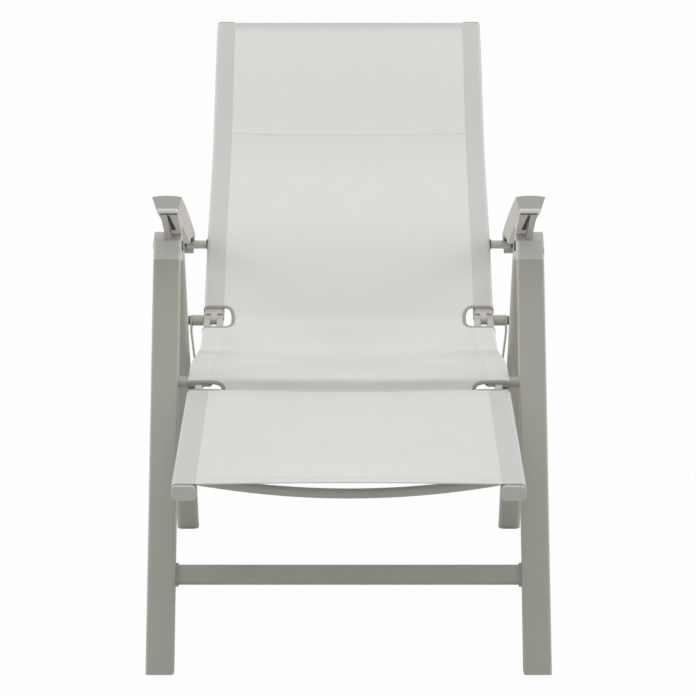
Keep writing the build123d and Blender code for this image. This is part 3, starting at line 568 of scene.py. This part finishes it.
@dataclass
class Cloth:
    """The sling's surface: a route in the side view and a profile across the chair.

    The route is the cloth's upper line over the rails. A point at (q, s) is the route's point
    at s, moved along the route's normal by the profile's height at |q|, at the profile's x
    with the sign of q. Between the rails, with b = 1 - (x / inner)^2, the sheet hangs lower by
    sag * b * sin(front * rear * pi / 2), and its front edge is cut hollow by
    hollow * b * (1 - front). Front and rear grow evenly from nought to one over end_reach
    from that end of the route.

    The rails' lines are given beside the chords between two pivots or ends, in shares of a
    chord's length: along it and off it. At a pivot a rail starts or ends an inset away from
    it. The bends are the radii of the route's corners in order. Rim, crest and fold are its
    lengths at the three marked corners: the leg rest's rear edge, the seat's front edge and
    the back's hinge.
    """

    seat_pivot: Array
    back_pivot: Array
    back_length: float = 0.764
    back_rise: float = math.radians(32.3)
    leg_rest_length: float = 0.438
    leg_rest_fall: float = math.radians(5.3)
    leg_rest_inset: float = 0.031
    leg_rest_off: float = 0.031
    seat_length: float = 0.470
    inset: float = 0.026
    seat_off: Pair = (0.0, -0.036)
    seat_bow: tuple[Pair, ...] = ((0.22, 0.004), (0.72, -0.066))
    back_off: float = -0.0215
    back_bow: tuple[Pair, ...] = ((0.28, -0.017), (0.60, -0.057), (0.88, -0.004), (1.0, 0.0))
    bends: Row = (0.005, 0.0035, 0.011, 0.33, 0.31, 0.06, 0.53, 0.51, 0.53)
    marks: tuple[int, ...] = (0, 2, 5)
    rim_past: float = 0.006
    dip: Pair = (-0.0185, -0.0165)
    crest_ahead: float = 0.0113
    rail_half: float = 0.2455
    rail_width: float = 0.033
    rail_height: float = 0.021
    offset: float = 0.0007
    corner: float = 0.0067
    mouth: float = 0.0006
    tuck: float = 0.003
    tuck_bend: float = 0.0009
    sag: float = 0.004
    hollow: float = 0.0075
    end_reach: float = 0.12

    def __post_init__(self) -> None:
        """Lay out the route along the chair and the profile across it."""
        self.inner = self.rail_half - self.rail_width
        self.route = self._lay_route()
        self.profile = self._lay_profile()
        self.rim, self.crest, self.fold = self.route.knots[list(self.marks)]

    def _lay_route(self) -> Route:
        """Route from the leg rest's front edge to the back's top edge.

        The rails' runs are raised to the cloth's upper line and meet in the corners. From the
        leg rest the route goes a little past the rail's end, down into a dip and up again to
        the seat's front edge.

        Returns:
            The route.
        """
        rise = np.array([math.cos(self.back_rise), math.sin(self.back_rise)])
        fall = -np.array([math.cos(self.leg_rest_fall), math.sin(self.leg_rest_fall)])
        seat, back = self.seat_pivot, self.back_pivot
        front, top = seat + fall * self.leg_rest_length, back + rise * self.back_length
        height = self.rail_height / 2 + self.offset
        leg_rest_end = (self.leg_rest_inset / self.leg_rest_length, self.leg_rest_off)
        leg_run = raised([front, chord_point(seat, front, *leg_rest_end)], height)[0]
        end = self.inset / self.seat_length
        seat_line = ((end, self.seat_off[0]), *self.seat_bow, (1 - end, self.seat_off[1]))
        runs = raised([chord_point(seat, back, *share) for share in seat_line], height)
        back_line = ((self.inset / self.back_length, self.back_off), *self.back_bow)
        runs += raised([chord_point(back, top, *share) for share in back_line], height)
        way = (leg_run[1] - leg_run[0]) / np.hypot(*(leg_run[1] - leg_run[0]))
        upright = seat - np.array([self.crest_ahead, 0.0])
        crest = meeting(runs[0], (upright, upright + np.array([0.0, 1.0])))
        dip = seat + np.array(self.dip)
        corners = [leg_run[0], leg_run[1] + way * self.rim_past, dip, crest]
        corners += [meeting(one, two) for one, two in zip(runs, runs[1:])]
        return Route(np.array([*corners, runs[-1][1]]), self.bends)

    def _lay_profile(self) -> Route:
        """Profile from the chair's middle, round the rail and into its groove.

        Returns:
            The profile.
        """
        outer, under = self.rail_half + self.offset, -self.rail_height - 2 * self.offset
        groove = self.rail_half - self.rail_width / 2 + self.mouth
        across = [[0.0, 0.0], [outer, 0.0], [outer, under], [groove, under]]
        across.append([groove, under + self.tuck])
        return Route(np.array(across), (self.corner, self.corner, self.tuck_bend))

    def point(self, q: Array, s: Array, lift: float | Array = 0.0) -> Array:
        """Points of the sheet.

        Args:
            q: lengths across, from the middle, unrolled round the rails.
            s: lengths along the route.
            lift: height above the sheet's middle, along the sheet's normal.

        Returns:
            The points, with x, y and z last.
        """
        x, h, slope = self.profile.at(np.abs(q))
        between = np.clip(1 - (x / self.inner) ** 2, 0.0, 1.0)
        front = np.clip(s / self.end_reach, 0.0, 1.0)
        rear = np.clip((self.route.length - s) / self.end_reach, 0.0, 1.0)
        y, z, heading = self.route.at(s + between * (1 - front) * self.hollow)
        x = x + lift * np.sin(-slope)
        h = h + lift * np.cos(slope)
        h = h - between * self.sag * np.sin(front * rear * math.pi / 2)
        return np.stack((np.sign(q) * x, y - np.sin(heading) * h, z + np.cos(heading) * h), -1)


def mesh_piece(name: str, points: Array, faces: Array, uvs: Array | None = None) -> Piece:
    """New smooth mesh object at the origin.

    Args:
        name: the piece's name.
        points: corners, one row each.
        faces: corner numbers, one row of four each.
        uvs: map coordinates of every corner in metres, or none.

    Returns:
        The object, linked to the scene.
    """
    used = np.unique(faces)
    lookup = np.full(len(points), -1)
    lookup[used] = np.arange(len(used))
    faces = lookup[faces]
    mesh = bpy.data.meshes.new(name)
    mesh.from_pydata(points[used].tolist(), [], faces.tolist())
    mesh.polygons.foreach_set("use_smooth", np.ones(len(faces), bool))
    if uvs is not None:
        layer = mesh.uv_layers.new(name=CLOTH_MAP)
        loops = uvs[used][faces.ravel()].astype(np.float32)
        layer.data.foreach_set("uv", loops.ravel())
    mesh.update()
    piece = bpy.data.objects.new(name, mesh)
    bpy.context.scene.collection.objects.link(piece)
    return piece


def grid_faces(rows: int, columns: int, around: bool = False) -> Array:
    """Faces of a grid of points.

    Args:
        rows: number of rows.
        columns: number of points in a row.
        around: whether the rows are closed into rings.

    Returns:
        Corner numbers, one row of four each.
    """
    index = np.arange(rows * columns).reshape(rows, columns)
    if around:
        index = np.hstack((index, index[:, :1]))
    corners = (index[:-1, :-1], index[:-1, 1:], index[1:, 1:], index[1:, :-1])
    return np.stack(corners, -1).reshape(-1, 4)


def outline_edges(faces: Array) -> Array:
    """Edges that only one face uses.

    Args:
        faces: corner numbers, one row of four each.

    Returns:
        The two ends of each edge, in its face's direction.
    """
    edges = np.stack((faces, np.roll(faces, -1, axis=1)), -1).reshape(-1, 2)
    ends = np.sort(edges, axis=1)
    _, index, counts = np.unique(ends, axis=0, return_index=True, return_counts=True)
    return edges[index[counts == 1]]


def thick_piece(name: str, upper: Array, lower: Array, faces: Array, uvs: Array) -> Piece:
    """New sheet with two faces and a rim, sharp along the rim.

    Args:
        name: the piece's name.
        upper: corners of its upper face.
        lower: corners of its lower face, in the same order.
        faces: corner numbers of the upper face, one row of four each.
        uvs: map coordinates of the corners, for both faces.

    Returns:
        The object.
    """
    count = len(upper)
    rim = outline_edges(faces)
    sides = np.stack((rim[:, 1], rim[:, 0], rim[:, 0] + count, rim[:, 1] + count), -1)
    every = np.concatenate((faces, faces[:, ::-1] + count, sides))
    points = np.concatenate((upper, lower))
    piece = mesh_piece(name, points, every, np.concatenate((uvs, uvs)))
    piece.data.set_sharp_from_angle(angle=RIM_ANGLE)
    return piece


@dataclass
class Cutout:
    """U-shaped cut in the sheet's edge beside a hinge: straight sides and a round end.

    The end is half of |depth / deep|^n + |along / half|^n = 1, and it starts at the mouth.
    """

    low: float
    high: float
    deep: float = 0.0215
    mouth: float = 0.2125
    power: float = 2.6

    @property
    def centre(self) -> float:
        """Middle of the cut along the route."""
        return (self.low + self.high) / 2

    @property
    def half(self) -> float:
        """Half the cut's length along the route."""
        return (self.high - self.low) / 2

    def edge(self, s: Array) -> Array:
        """Distance of the round end from the chair's middle, at lengths along the route."""
        share = np.clip(np.abs(s - self.centre) / self.half, 0.0, 1.0)
        return self.mouth - self.deep * (1 - share**self.power) ** (1 / self.power)

    def bend(self, count: int) -> tuple[Array, Array]:
        """Points of the round end, evenly by angle.

        Args:
            count: number of points.

        Returns:
            Lengths across and along.
        """
        angle = np.linspace(-math.pi / 2, math.pi / 2, count)
        along = np.sign(angle) * np.abs(np.sin(angle)) ** (2 / self.power)
        deep = np.clip(np.cos(angle), 0.0, 1.0) ** (2 / self.power)
        return self.mouth - self.deep * deep, self.centre + self.half * along


@dataclass
class SlingMaker:
    """Cuts, hems, binds and stitches the covers of the leg rest, the seat and the back.

    Cutouts are placed by their distances from the leg rest's rear edge and the seat's front
    edge, and from the back's hinge. Columns are counted between the middle, the shoulder, the
    cutouts' mouth, the rail's bend and the end of the profile.
    """

    cloth: Cloth
    weave: Material
    tape: Material
    thread: Material
    thickness: float = 0.0008
    front_gap: float = 0.0065
    end_gap: float = 0.002
    front_cut: Pair = (-0.003, -0.0065)
    rear_cut: Pair = (-0.037, 0.03)
    rear_deep: float = 0.0165
    split_past: float = 0.05
    shoulder: float = 0.186
    rail_bend: float = 0.2385
    column_counts: tuple[int, ...] = (20, 8, 5, 30)
    layer_columns: int = 41
    row_step: float = 0.006
    layer_step: float = 0.007
    layer_rows: int = 4
    dip_rows: int = 48
    dip_reach: Pair = (0.006, 0.012)
    cut_rows: int = 33
    cut_clear: float = 0.001
    tape_half: Pair = (0.0032, 0.0015)
    tape_short: float = 0.004
    tape_rows: tuple[int, int] = (40, 41)
    tape_ring: int = 12
    stitch_pitch: float = 0.0042
    stitch_share: float = 0.38
    stitch_half: float = 0.00045
    stitch_height: float = 0.0005
    stitch_sunk: float = 0.0001
    stitch_round: float = 0.98
    stitch_grid: tuple[int, int] = (5, 6)

    def __post_init__(self) -> None:
        """Place both pairs of cutouts and the line where the two covers meet."""
        rim, crest, fold = self.cloth.rim, self.cloth.crest, self.cloth.fold
        self.front = Cutout(rim + self.front_cut[0], crest + self.front_cut[1])
        self.rear = Cutout(fold + self.rear_cut[0], fold + self.rear_cut[1], self.rear_deep)
        self.split = crest + self.split_past

    def columns(self) -> Array:
        """Lengths across, denser on the bends round the rails.

        Returns:
            The lengths, from one side to the other.
        """
        ends = (0.0, self.shoulder, self.front.mouth, self.rail_bend, self.cloth.profile.length)
        parts = [np.linspace(*span)[1:] for span in zip(ends, ends[1:], self.column_counts)]
        half = np.concatenate(([0.0], *parts))
        return np.concatenate((-half[:0:-1], half))

    def rows(self, low: float, high: float, cut: Cutout) -> Array:
        """Lengths along: even ones, closer ones over the dip, and the cutout's own.

        Args:
            low: where the cover starts along the route.
            high: where it ends.
            cut: the cutout that lies between.

        Returns:
            The lengths in order.
        """
        even = np.linspace(low, high, int((high - low) / self.row_step) + 2)
        start, end = self.cloth.rim - self.dip_reach[0], self.cloth.crest + self.dip_reach[1]
        dip = np.linspace(start, end, self.dip_rows)
        even = np.concatenate((even, dip[(dip > low) & (dip < high)]))
        even = even[np.abs(even - cut.centre) > cut.half + self.cut_clear]
        return np.unique(np.concatenate((even, cut.bend(self.cut_rows)[1])))

    def cover(self, name: str, low: float, high: float, cut: Cutout) -> Sheet:
        """One cover, with its hems wrapped round the rails and a pair of cutouts.

        Between shoulder and mouth the columns are drawn in to the cutout's edge, and past the
        mouth its faces are left out.

        Args:
            name: the piece's name.
            low: where it starts along the route.
            high: where it ends.
            cut: the cutout that lies between.

        Returns:
            The cover and its flat area.
        """
        q, s = np.meshgrid(self.columns(), self.rows(low, high, cut))
        size, faces = np.abs(q), grid_faces(*q.shape)
        middle_q, middle_s = size.ravel()[faces].mean(1), s.ravel()[faces].mean(1)
        gone = (np.abs(middle_s - cut.centre) < cut.half) & (middle_q > cut.mouth)
        share = (size - self.shoulder) / (cut.mouth - self.shoulder)
        drawn = self.shoulder + share * (cut.edge(s) - self.shoulder)
        band = (size > self.shoulder) & (size <= cut.mouth + SLACK)
        band &= np.abs(s - cut.centre) <= cut.half + SLACK
        q = np.where(band, np.sign(q) * drawn, q)
        return self.sheet(name, q, s, faces[~gone])

    def sheet(self, name: str, q: Array, s: Array, faces: Array, lift: float = 0.0) -> Sheet:
        """A piece of cloth with its thickness.

        A face's flat area is half the cross product of its diagonals in the cloth's map.

        Args:
            name: the piece's name.
            q: its points' lengths across.
            s: their lengths along.
            faces: corner numbers, one row of four each.
            lift: its height above the cover's middle.

        Returns:
            The piece and its flat area.
        """
        uvs = np.stack((q, s), -1).reshape(-1, 2)
        half = self.thickness / 2
        upper, lower = (self.cloth.point(q, s, lift + h).reshape(-1, 3) for h in (half, -half))
        piece = thick_piece(name, upper, lower, faces, uvs)
        piece.data.materials.append(self.weave)
        one, two = uvs[faces[:, 2]] - uvs[faces[:, 0]], uvs[faces[:, 3]] - uvs[faces[:, 1]]
        return piece, float(np.abs(one[:, 0] * two[:, 1] - one[:, 1] * two[:, 0]).sum() / 2)

    def layer(self, name: str, low: float, high: float, half: float, lift: float) -> Sheet:
        """A second, flat layer of cloth over or under a cover.

        Args:
            name: the piece's name.
            low: where it starts along the route.
            high: where it ends.
            half: half its width.
            lift: its height above the cover's middle.

        Returns:
            The layer and its flat area.
        """
        count = max(self.layer_rows, int((high - low) / self.layer_step))
        across = np.linspace(-half, half, self.layer_columns)
        q, s = np.meshgrid(across, np.linspace(low, high, count))
        return self.sheet(name, q, s, grid_faces(*q.shape), lift)

    def binding(self, name: str, cut: Cutout, side: Side) -> Piece:
        """Binding tape round a cutout: a flat oval carried along its edge.

        The oval's long axis lies in the sheet, across the edge, and its short axis is the
        sheet's normal, so a ring is path + wide * cos * across + thin * sin * normal.

        Args:
            name: the piece's name.
            cut: the cutout.
            side: the side of the chair.

        Returns:
            The tape.
        """
        straight, round_end = self.tape_rows
        end = self.cloth.profile.length - self.tape_short
        run = np.linspace(end, cut.mouth, straight)[:-1]
        bend_q, bend_s = cut.bend(round_end)
        q = np.concatenate((run, bend_q, run[::-1]))
        s = np.concatenate((np.full(len(run), cut.low), bend_s, np.full(len(run), cut.high)))
        dq, ds = np.gradient(q), np.gradient(s)
        size = np.hypot(dq, ds)
        angle = np.linspace(0, 2 * math.pi, self.tape_ring + 1)[:-1]
        wide, thin = self.tape_half[0] * np.cos(angle), self.tape_half[1] * np.sin(angle)
        ring_q = q[:, None] + (-ds / size)[:, None] * wide
        ring_s = s[:, None] + (dq / size)[:, None] * wide
        thin = np.broadcast_to(thin, ring_q.shape)
        points = self.cloth.point(side.value * ring_q, ring_s, thin)
        length = np.concatenate(([0.0], np.cumsum(np.hypot(np.diff(q), np.diff(s)))))
        uvs = np.stack(np.broadcast_arrays(ring_q, length[:, None]), -1).reshape(-1, 2)
        faces = grid_faces(*ring_q.shape, around=True)
        if side is Side.LEFT:
            faces = faces[:, ::-1]
        piece = mesh_piece(name, points.reshape(-1, 3), faces, uvs)
        piece.data.materials.append(self.tape)
        return piece

    def bindings(self, name: str, cut: Cutout) -> list[Piece]:
        """The binding tapes of both sides."""
        return [self.binding(f"{name}_{side.word}", cut, side) for side in Side]

    def stitches(self, name: str, reach: float, place: float, lift: float) -> Piece:
        """A row of stitches across the chair: long low domes, one after another.

        A dome's height is h * sqrt(1 - r * a^2 - r * b^2) over its length a and width b, both
        from minus one to one.

        Args:
            name: the piece's name.
            reach: how far the row goes to either side of the middle.
            place: its length along the route.
            lift: height of the cloth's upper face above the cover's middle.

        Returns:
            The stitches as one piece.
        """
        count = int(2 * reach / self.stitch_pitch)
        share = ((np.arange(count) + 0.5) / count)[:, None, None]
        rows, columns = self.stitch_grid
        a, b = np.meshgrid(np.linspace(-1, 1, columns), np.linspace(-1, 1, rows))
        level = 1 - a**2 * self.stitch_round - b**2 * self.stitch_round
        dome = np.sqrt(np.clip(level, 0.0, None)) * self.stitch_height
        q = -reach + 2 * reach * share + a * self.stitch_pitch * self.stitch_share
        s = np.broadcast_to(place + b * self.stitch_half, q.shape)
        height = np.broadcast_to(lift - self.stitch_sunk + dome, q.shape)
        points = self.cloth.point(q, s, height).reshape(-1, 3)
        first = (np.arange(count) * a.size)[:, None, None]
        faces = (grid_faces(rows, columns)[None] + first).reshape(-1, 4)
        piece = mesh_piece(name, points, faces, np.stack((q, s), -1).reshape(-1, 2))
        piece.data.materials.append(self.thread)
        return piece


@dataclass
class Slings:
    """All the cloth on the chair. Lifts are heights above a cover's middle."""

    maker: SlingMaker
    headrest: Material
    seam_place: float = 0.272
    seam_in: float = 0.004
    hem_depth: float = 0.026
    hem_seam: float = 0.022
    side_gap: float = 0.001
    hem_lift: float = -0.00085
    layer_lift: float = 0.0005
    cover_thread_lift: float = 0.0004
    seam_thread_lift: float = 0.0007
    layer_thread_lift: float = 0.0009
    bend_past: float = 0.008

    def build(self) -> list[Piece]:
        """Make the covers and everything sewn to them.

        Returns:
            The pieces.
        """
        pieces = self.leg_rest() + self.seat_and_back()
        return pieces

    def bend(self, pieces: list[Piece], cut: Cutout, first: Body, second: Body) -> None:
        """Bake the pieces' transforms into their meshes; the route's points go unused.

        Args:
            pieces: the cover and its tapes.
            cut: the cutout at the hinge.
            first: the body before it along the route; not used.
            second: the body after it; not used.
        """
        y, z, _ = self.maker.cloth.route.at(np.array([cut.low, cut.high + self.bend_past]))
        for piece in pieces:
            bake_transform(piece)

    def leg_rest(self) -> list[Piece]:
        """Cover of the leg rest, with its front hem and both bindings.

        Returns:
            The pieces.
        """
        maker, cut = self.maker, self.maker.front
        low, reach = maker.front_gap, maker.cloth.inner
        cover, area = maker.cover("leg_rest_cover", low, maker.split, cut)
        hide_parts("leg_rest_sling")
        half, high = reach - self.side_gap, low + self.hem_depth
        hem = maker.layer("leg_rest_hem", low, high, half, self.hem_lift)[0]
        row = ("leg_rest_hem_stitches", reach, low + self.hem_seam)
        thread = maker.stitches(*row, self.cover_thread_lift)
        for piece in (hem, thread):
            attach(piece, Body.LEG_REST.value)
        tapes = maker.bindings("leg_rest_binding", cut)
        self.bend([cover, *tapes], cut, Body.LEG_REST, Body.SEAT)
        maker.split - low
        return [cover, hem, thread, *tapes]

    def seat_and_back(self) -> list[Piece]:
        """Cover of the seat and the back, the headrest's second layer, the hem and the seams.

        Returns:
            The pieces.
        """
        maker, cut = self.maker, self.maker.rear
        high = maker.cloth.route.length - maker.end_gap
        reach = maker.cloth.inner - self.side_gap
        seam = high - self.seam_place
        cover, area = maker.cover("seat_back_cover", maker.split, high, cut)
        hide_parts("seat_sling", "back_sling")
        layer, layer_area = maker.layer("headrest_layer", seam, high, reach, self.layer_lift)
        layer.data.materials[0] = self.headrest
        hem = maker.layer("back_hem", high - self.hem_depth, high, reach, self.hem_lift)[0]
        rows = (
            ("headrest_seam_stitches", reach, seam + self.seam_in, self.seam_thread_lift),
            ("back_hem_stitches", reach, high - self.hem_seam, self.layer_thread_lift),
        )
        threads = [maker.stitches(*row) for row in rows]
        for piece in (layer, hem, *threads):
            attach(piece, Body.BACK.value)
        tapes = maker.bindings("back_binding", cut)
        self.bend([cover, *tapes], cut, Body.SEAT, Body.BACK)
        high - maker.split
        2 * reach
        return [cover, layer, hem, *threads, *tapes]


@dataclass
class ArmTrim:
    """Small pieces at the armrests' tips: a moulded lip, lighter as a painted highlight, and dark
    strips of painted shade in the groove under it, in the slot and along a line beside the slot.

    Places are in the armrest's own frame: along it from its pivot and up from its axis. A
    point is pivot + along * (cos f, -sin f) + up * (sin f, cos f), with f its fall. The strips
    lie on the keel's underside, a straight line from keel_from to keel_to, and each has two
    rows: place along, distance from the chair's middle and half its width.
    """

    pivot: Array
    fall: float = math.radians(16.962)
    tip: float = -0.117
    lip_middle: float = 0.2737
    lip_half: float = 0.0156
    lip_end: float = 8.0
    lip_up: Row = (0.0020, 0.0014, 0.0004, -0.0012, -0.0028, -0.0042, -0.0050, -0.0053)
    lip_bulge: Row = (-0.0005, 0.0009, 0.0019, 0.0026, 0.0028, 0.0024, 0.0012, -0.0006)
    keel_from: Pair = (-0.109, -0.0045)
    keel_to: Pair = (-0.005, -0.026)
    proud: float = 0.0003
    inside: float = 0.0012
    # Dark strips of painted shade: the groove under the lip, the slot, and a straight line beside
    # the slot.
    groove: tuple[Triple, ...] = ((-0.1088, 0.2725, 0.0125), (-0.1025, 0.2725, 0.0125))
    slot: tuple[Triple, ...] = ((-0.098, 0.2738, 0.0016), (-0.022, 0.2695, 0.0031))
    seam: tuple[Triple, ...] = ((-0.1085, 0.2752, 0.0004), (-0.006, 0.2752, 0.0005))
    lip_columns: int = 33
    strip_columns: int = 5

    def place(self, x: Array, along: Array, up: Array) -> Array:
        """Points from their places.

        Args:
            x: distances from the chair's middle plane.
            along: places along the armrest.
            up: places above its axis.

        Returns:
            The points, one row each.
        """
        y = self.pivot[0] + along * math.cos(self.fall) + up * math.sin(self.fall)
        z = self.pivot[1] - along * math.sin(self.fall) + up * math.cos(self.fall)
        return np.stack((*np.broadcast_arrays(x, y, z),), -1).reshape(-1, 3)

    def lip(self, side: Side) -> Piece:
        """Rounded ledge along the lower edge of the tip, fading at its ends.

        It stands proud of the tip by bulge * (1 - |t|^n), t being minus one to one across.

        Args:
            side: the side of the chair.

        Returns:
            The lip.
        """
        up, bulge = np.array(self.lip_up), np.array(self.lip_bulge)
        across = np.linspace(-1, 1, self.lip_columns)[:, None]
        fade = 1 - np.abs(across) ** self.lip_end
        x = side.value * self.lip_middle + across * self.lip_half
        outer = self.place(x, self.tip - bulge * fade, up)
        inner = self.place(x, np.full_like(x, self.tip + self.inside), up)
        uvs = np.stack(np.broadcast_arrays(up, x), -1).reshape(-1, 2)
        faces = grid_faces(len(across), len(up))
        return thick_piece(f"arm_lip_{side.word}", outer, inner, faces, uvs)

    def strip(self, side: Side, name: str, rows: tuple[Triple, ...]) -> Piece:
        """Dark strip of painted shade on the keel's underside.

        Args:
            side: the side of the chair.
            name: the start of the piece's name.
            rows: the strip's two rows.

        Returns:
            The strip.
        """
        along, middle, half = (np.array(rows)[:, i, None] for i in range(3))
        share = (along - self.keel_from[0]) / (self.keel_to[0] - self.keel_from[0])
        under = self.keel_from[1] + share * (self.keel_to[1] - self.keel_from[1])
        x = side.value * middle + np.linspace(-1, 1, self.strip_columns) * half
        upper = self.place(x, along, under + self.inside)
        lower = self.place(x, along, under - self.proud)
        uvs = np.stack(np.broadcast_arrays(x, along), -1).reshape(-1, 2)
        return thick_piece(f"{name}_{side.word}", upper, lower, grid_faces(*x.shape), uvs)

    def build(self, light: Material, dark: Material) -> list[Piece]:
        """Make both sides' pieces.

        Args:
            light: the lips' material, a lighter copy of the armrests' plastic as a painted
                highlight.
            dark: the strips' material, near black as painted shade.

        Returns:
            The pieces.
        """
        made = []
        strips = {"arm_groove_shade": self.groove, "arm_slot_shade": self.slot, "arm_slot_shadow_line": self.seam}
        for side in Side:
            # The lip carries the painted highlight, the strips the painted shade.
            rows = [(self.lip(side), light, "cap_plastic")]
            rows += [(self.strip(side, *strip), dark, "inner_plastic") for strip in strips.items()]
            for piece, material, slot in rows:
                piece.data.materials.append(material)
                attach(piece, f"armrest_{side.word}")
                made.append(piece)
        return made


@dataclass
class Frame:
    """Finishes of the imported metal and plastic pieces."""

    nodes: dict[str, Piece]
    slots: dict[str, str]
    finishes: dict[str, Material]
    caps: tuple[str, ...] = ("front_leg_cap", "rear_leg_cap")

    def dress(self) -> None:
        """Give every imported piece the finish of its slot, and the leg caps their own."""
        for name, node in self.nodes.items():
            own = "leg_caps" if name.startswith(self.caps) else self.slots[name]
            material = self.finishes[own]
            if not node.material_slots:
                node.data.materials.append(material)
            for slot in node.material_slots:
                slot.material = material
            log.info("dressed %s in %s", name, material.name)


@dataclass(frozen=True)
class Lamp:
    """A square soft lamp."""

    name: str
    place: Triple
    size: float
    power: float

    def hang(self, aim: Triple) -> None:
        """Hang the lamp.

        Args:
            aim: the point that it faces.
        """
        data = bpy.data.lights.new(self.name, "AREA")
        data.shape = "SQUARE"
        data.size = self.size
        data.energy = self.power
        lamp = bpy.data.objects.new(self.name, data)
        way = np.array(aim) - np.array(self.place)
        lamp.location = self.place
        flat = math.hypot(way[0], way[1])
        lamp.rotation_euler = (math.atan2(flat, -way[2]), 0.0, math.atan2(-way[0], way[1]))
        bpy.context.scene.collection.objects.link(lamp)


@dataclass
class Studio:
    """Pale floor, soft lamps and the camera at the photograph's angle."""

    focal_px: float = 2800.0
    image_px: float = 696.0
    sensor: float = 36.0
    middle_px: float = 348.7
    place: Triple = (0.0, -4.4813, 1.52)
    pitch: float = math.radians(14.6)
    far: float = 100.0
    floor_half: float = 40.0
    floor_colour: Row = (0.72, 0.72, 0.715, 1.0)
    floor_roughness: float = 0.9
    floor_gloss: float = 0.1
    floor_glow: float = 0.97
    sky_level: float = 0.53
    white: Row = (1.0, 1.0, 1.0, 1.0)
    aim: Triple = (0.0, 0.0, 0.4)
    lamps: tuple[Lamp, ...] = (
        Lamp("left_lamp", (3.2, 0.4, 1.5), 2.2, 46.0),
        Lamp("right_lamp", (-3.2, 0.4, 1.5), 2.2, 46.0),
        Lamp("top_lamp", (0.0, -0.6, 3.8), 3.0, 35.0),
    )

    def camera(self) -> None:
        """The camera, with the photograph's small offset as its shift."""
        data = bpy.data.cameras.new("camera")
        data.sensor_width = self.sensor
        data.lens = self.focal_px / self.image_px * self.sensor
        data.shift_x = -(self.middle_px - self.image_px / 2) / self.image_px
        data.clip_end = self.far
        camera = bpy.data.objects.new("camera", data)
        camera.location = self.place
        camera.rotation_euler = (math.pi / 2 - self.pitch, 0.0, 0.0)
        bpy.context.scene.collection.objects.link(camera)
        bpy.context.scene.camera = camera

    def floor(self) -> None:
        """Large pale floor, near white to the camera, that keeps the chair's shadow."""
        signs = np.array([[-1, -1, 0], [1, -1, 0], [1, 1, 0], [-1, 1, 0]], float)
        floor = mesh_piece("floor", signs * self.floor_half, np.array([[0, 1, 2, 3]]))
        board = MaterialBoard("floor_paper")
        board.feed(
            Base_Color=self.floor_colour,
            Roughness=self.floor_roughness,
            Specular_IOR_Level=self.floor_gloss,
        )
        glow = board.add("ShaderNodeEmission", {}, {"Color": self.white, "Strength": 1.0})
        seen = board.ray("Is Camera Ray") * self.floor_glow
        shader = Wire(board, board.shader.outputs[0])
        mixed = board.add("ShaderNodeMixShader", {}, {0: seen, 1: shader, 2: glow})
        board.join(mixed, board.tree.nodes["Material Output"].inputs["Surface"])
        floor.data.materials.append(board.material)

    def world(self) -> None:
        """Even pale surroundings, white to the camera, to gloss and to see-through rays."""
        world = bpy.data.worlds.new("surroundings")
        world.use_nodes = True
        board = Board(world.node_tree)
        backdrop = board.tree.nodes["Background"]
        board.join(self.white, backdrop.inputs["Color"])
        seen = board.ray("Is Camera Ray")
        for kind in ("Is Transmission Ray", "Is Glossy Ray"):
            seen = seen.larger(board.ray(kind))
        board.join(seen * (1 - self.sky_level) + self.sky_level, backdrop.inputs["Strength"])
        bpy.context.scene.world = world

    def build(self) -> None:
        """Set the stage."""
        self.camera()
        self.floor()
        self.world()
        for lamp in self.lamps:
            lamp.hang(self.aim)
        bpy.context.scene.view_settings.view_transform = "Standard"


def pivot_of(joints: list[dict], name: str) -> Array:
    """Side view place of a joint."""
    found = next(j for j in joints if j["name"] == name)
    return np.array(found["pos_m"][1:])


def main() -> None:
    """Load the solids, dress them, make the cloth and the trim, and set the stage."""
    logging.basicConfig(level=logging.INFO, format="%(message)s")
    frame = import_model()
    made = finishes()
    slots = {row["node"]: row["material_slot"] for row in frame["record"]["subparts"]}
    Frame(frame["nodes"], slots, made).dress()
    joints = frame["joints"]
    cloth = Cloth(pivot_of(joints, "seat_fold"), pivot_of(joints, "back_recline"))
    tape = Tape("binding_tape", linear(165, 164, 160)).material()
    thread = Tape("sewing_thread", linear(214, 213, 209), rib=0.0004).material()
    # The headrest's layer is the same cloth in a lighter copy: painted light against the shade of
    # the double layer.
    headrest = Weave("headrest_weave_painted_lighter", linear(237, 236, 233)).material()
    # A lighter copy of the armrests' plastic: a painted highlight on the lips.
    lip = Moulding("lip_moulding_painted_highlight", linear(224, 222, 215)).material()
    pieces = Slings(SlingMaker(cloth, made[SLING_SLOT], tape, thread), headrest).build()
    pieces += ArmTrim(pivot_of(joints, "arm_left_swing")).build(lip, made["inner_plastic"])
    for piece in pieces:
        log.info("made %s", piece.name)
    Studio().build()
    bpy.context.view_layer.update()


if __name__ == "__main__":
    main()
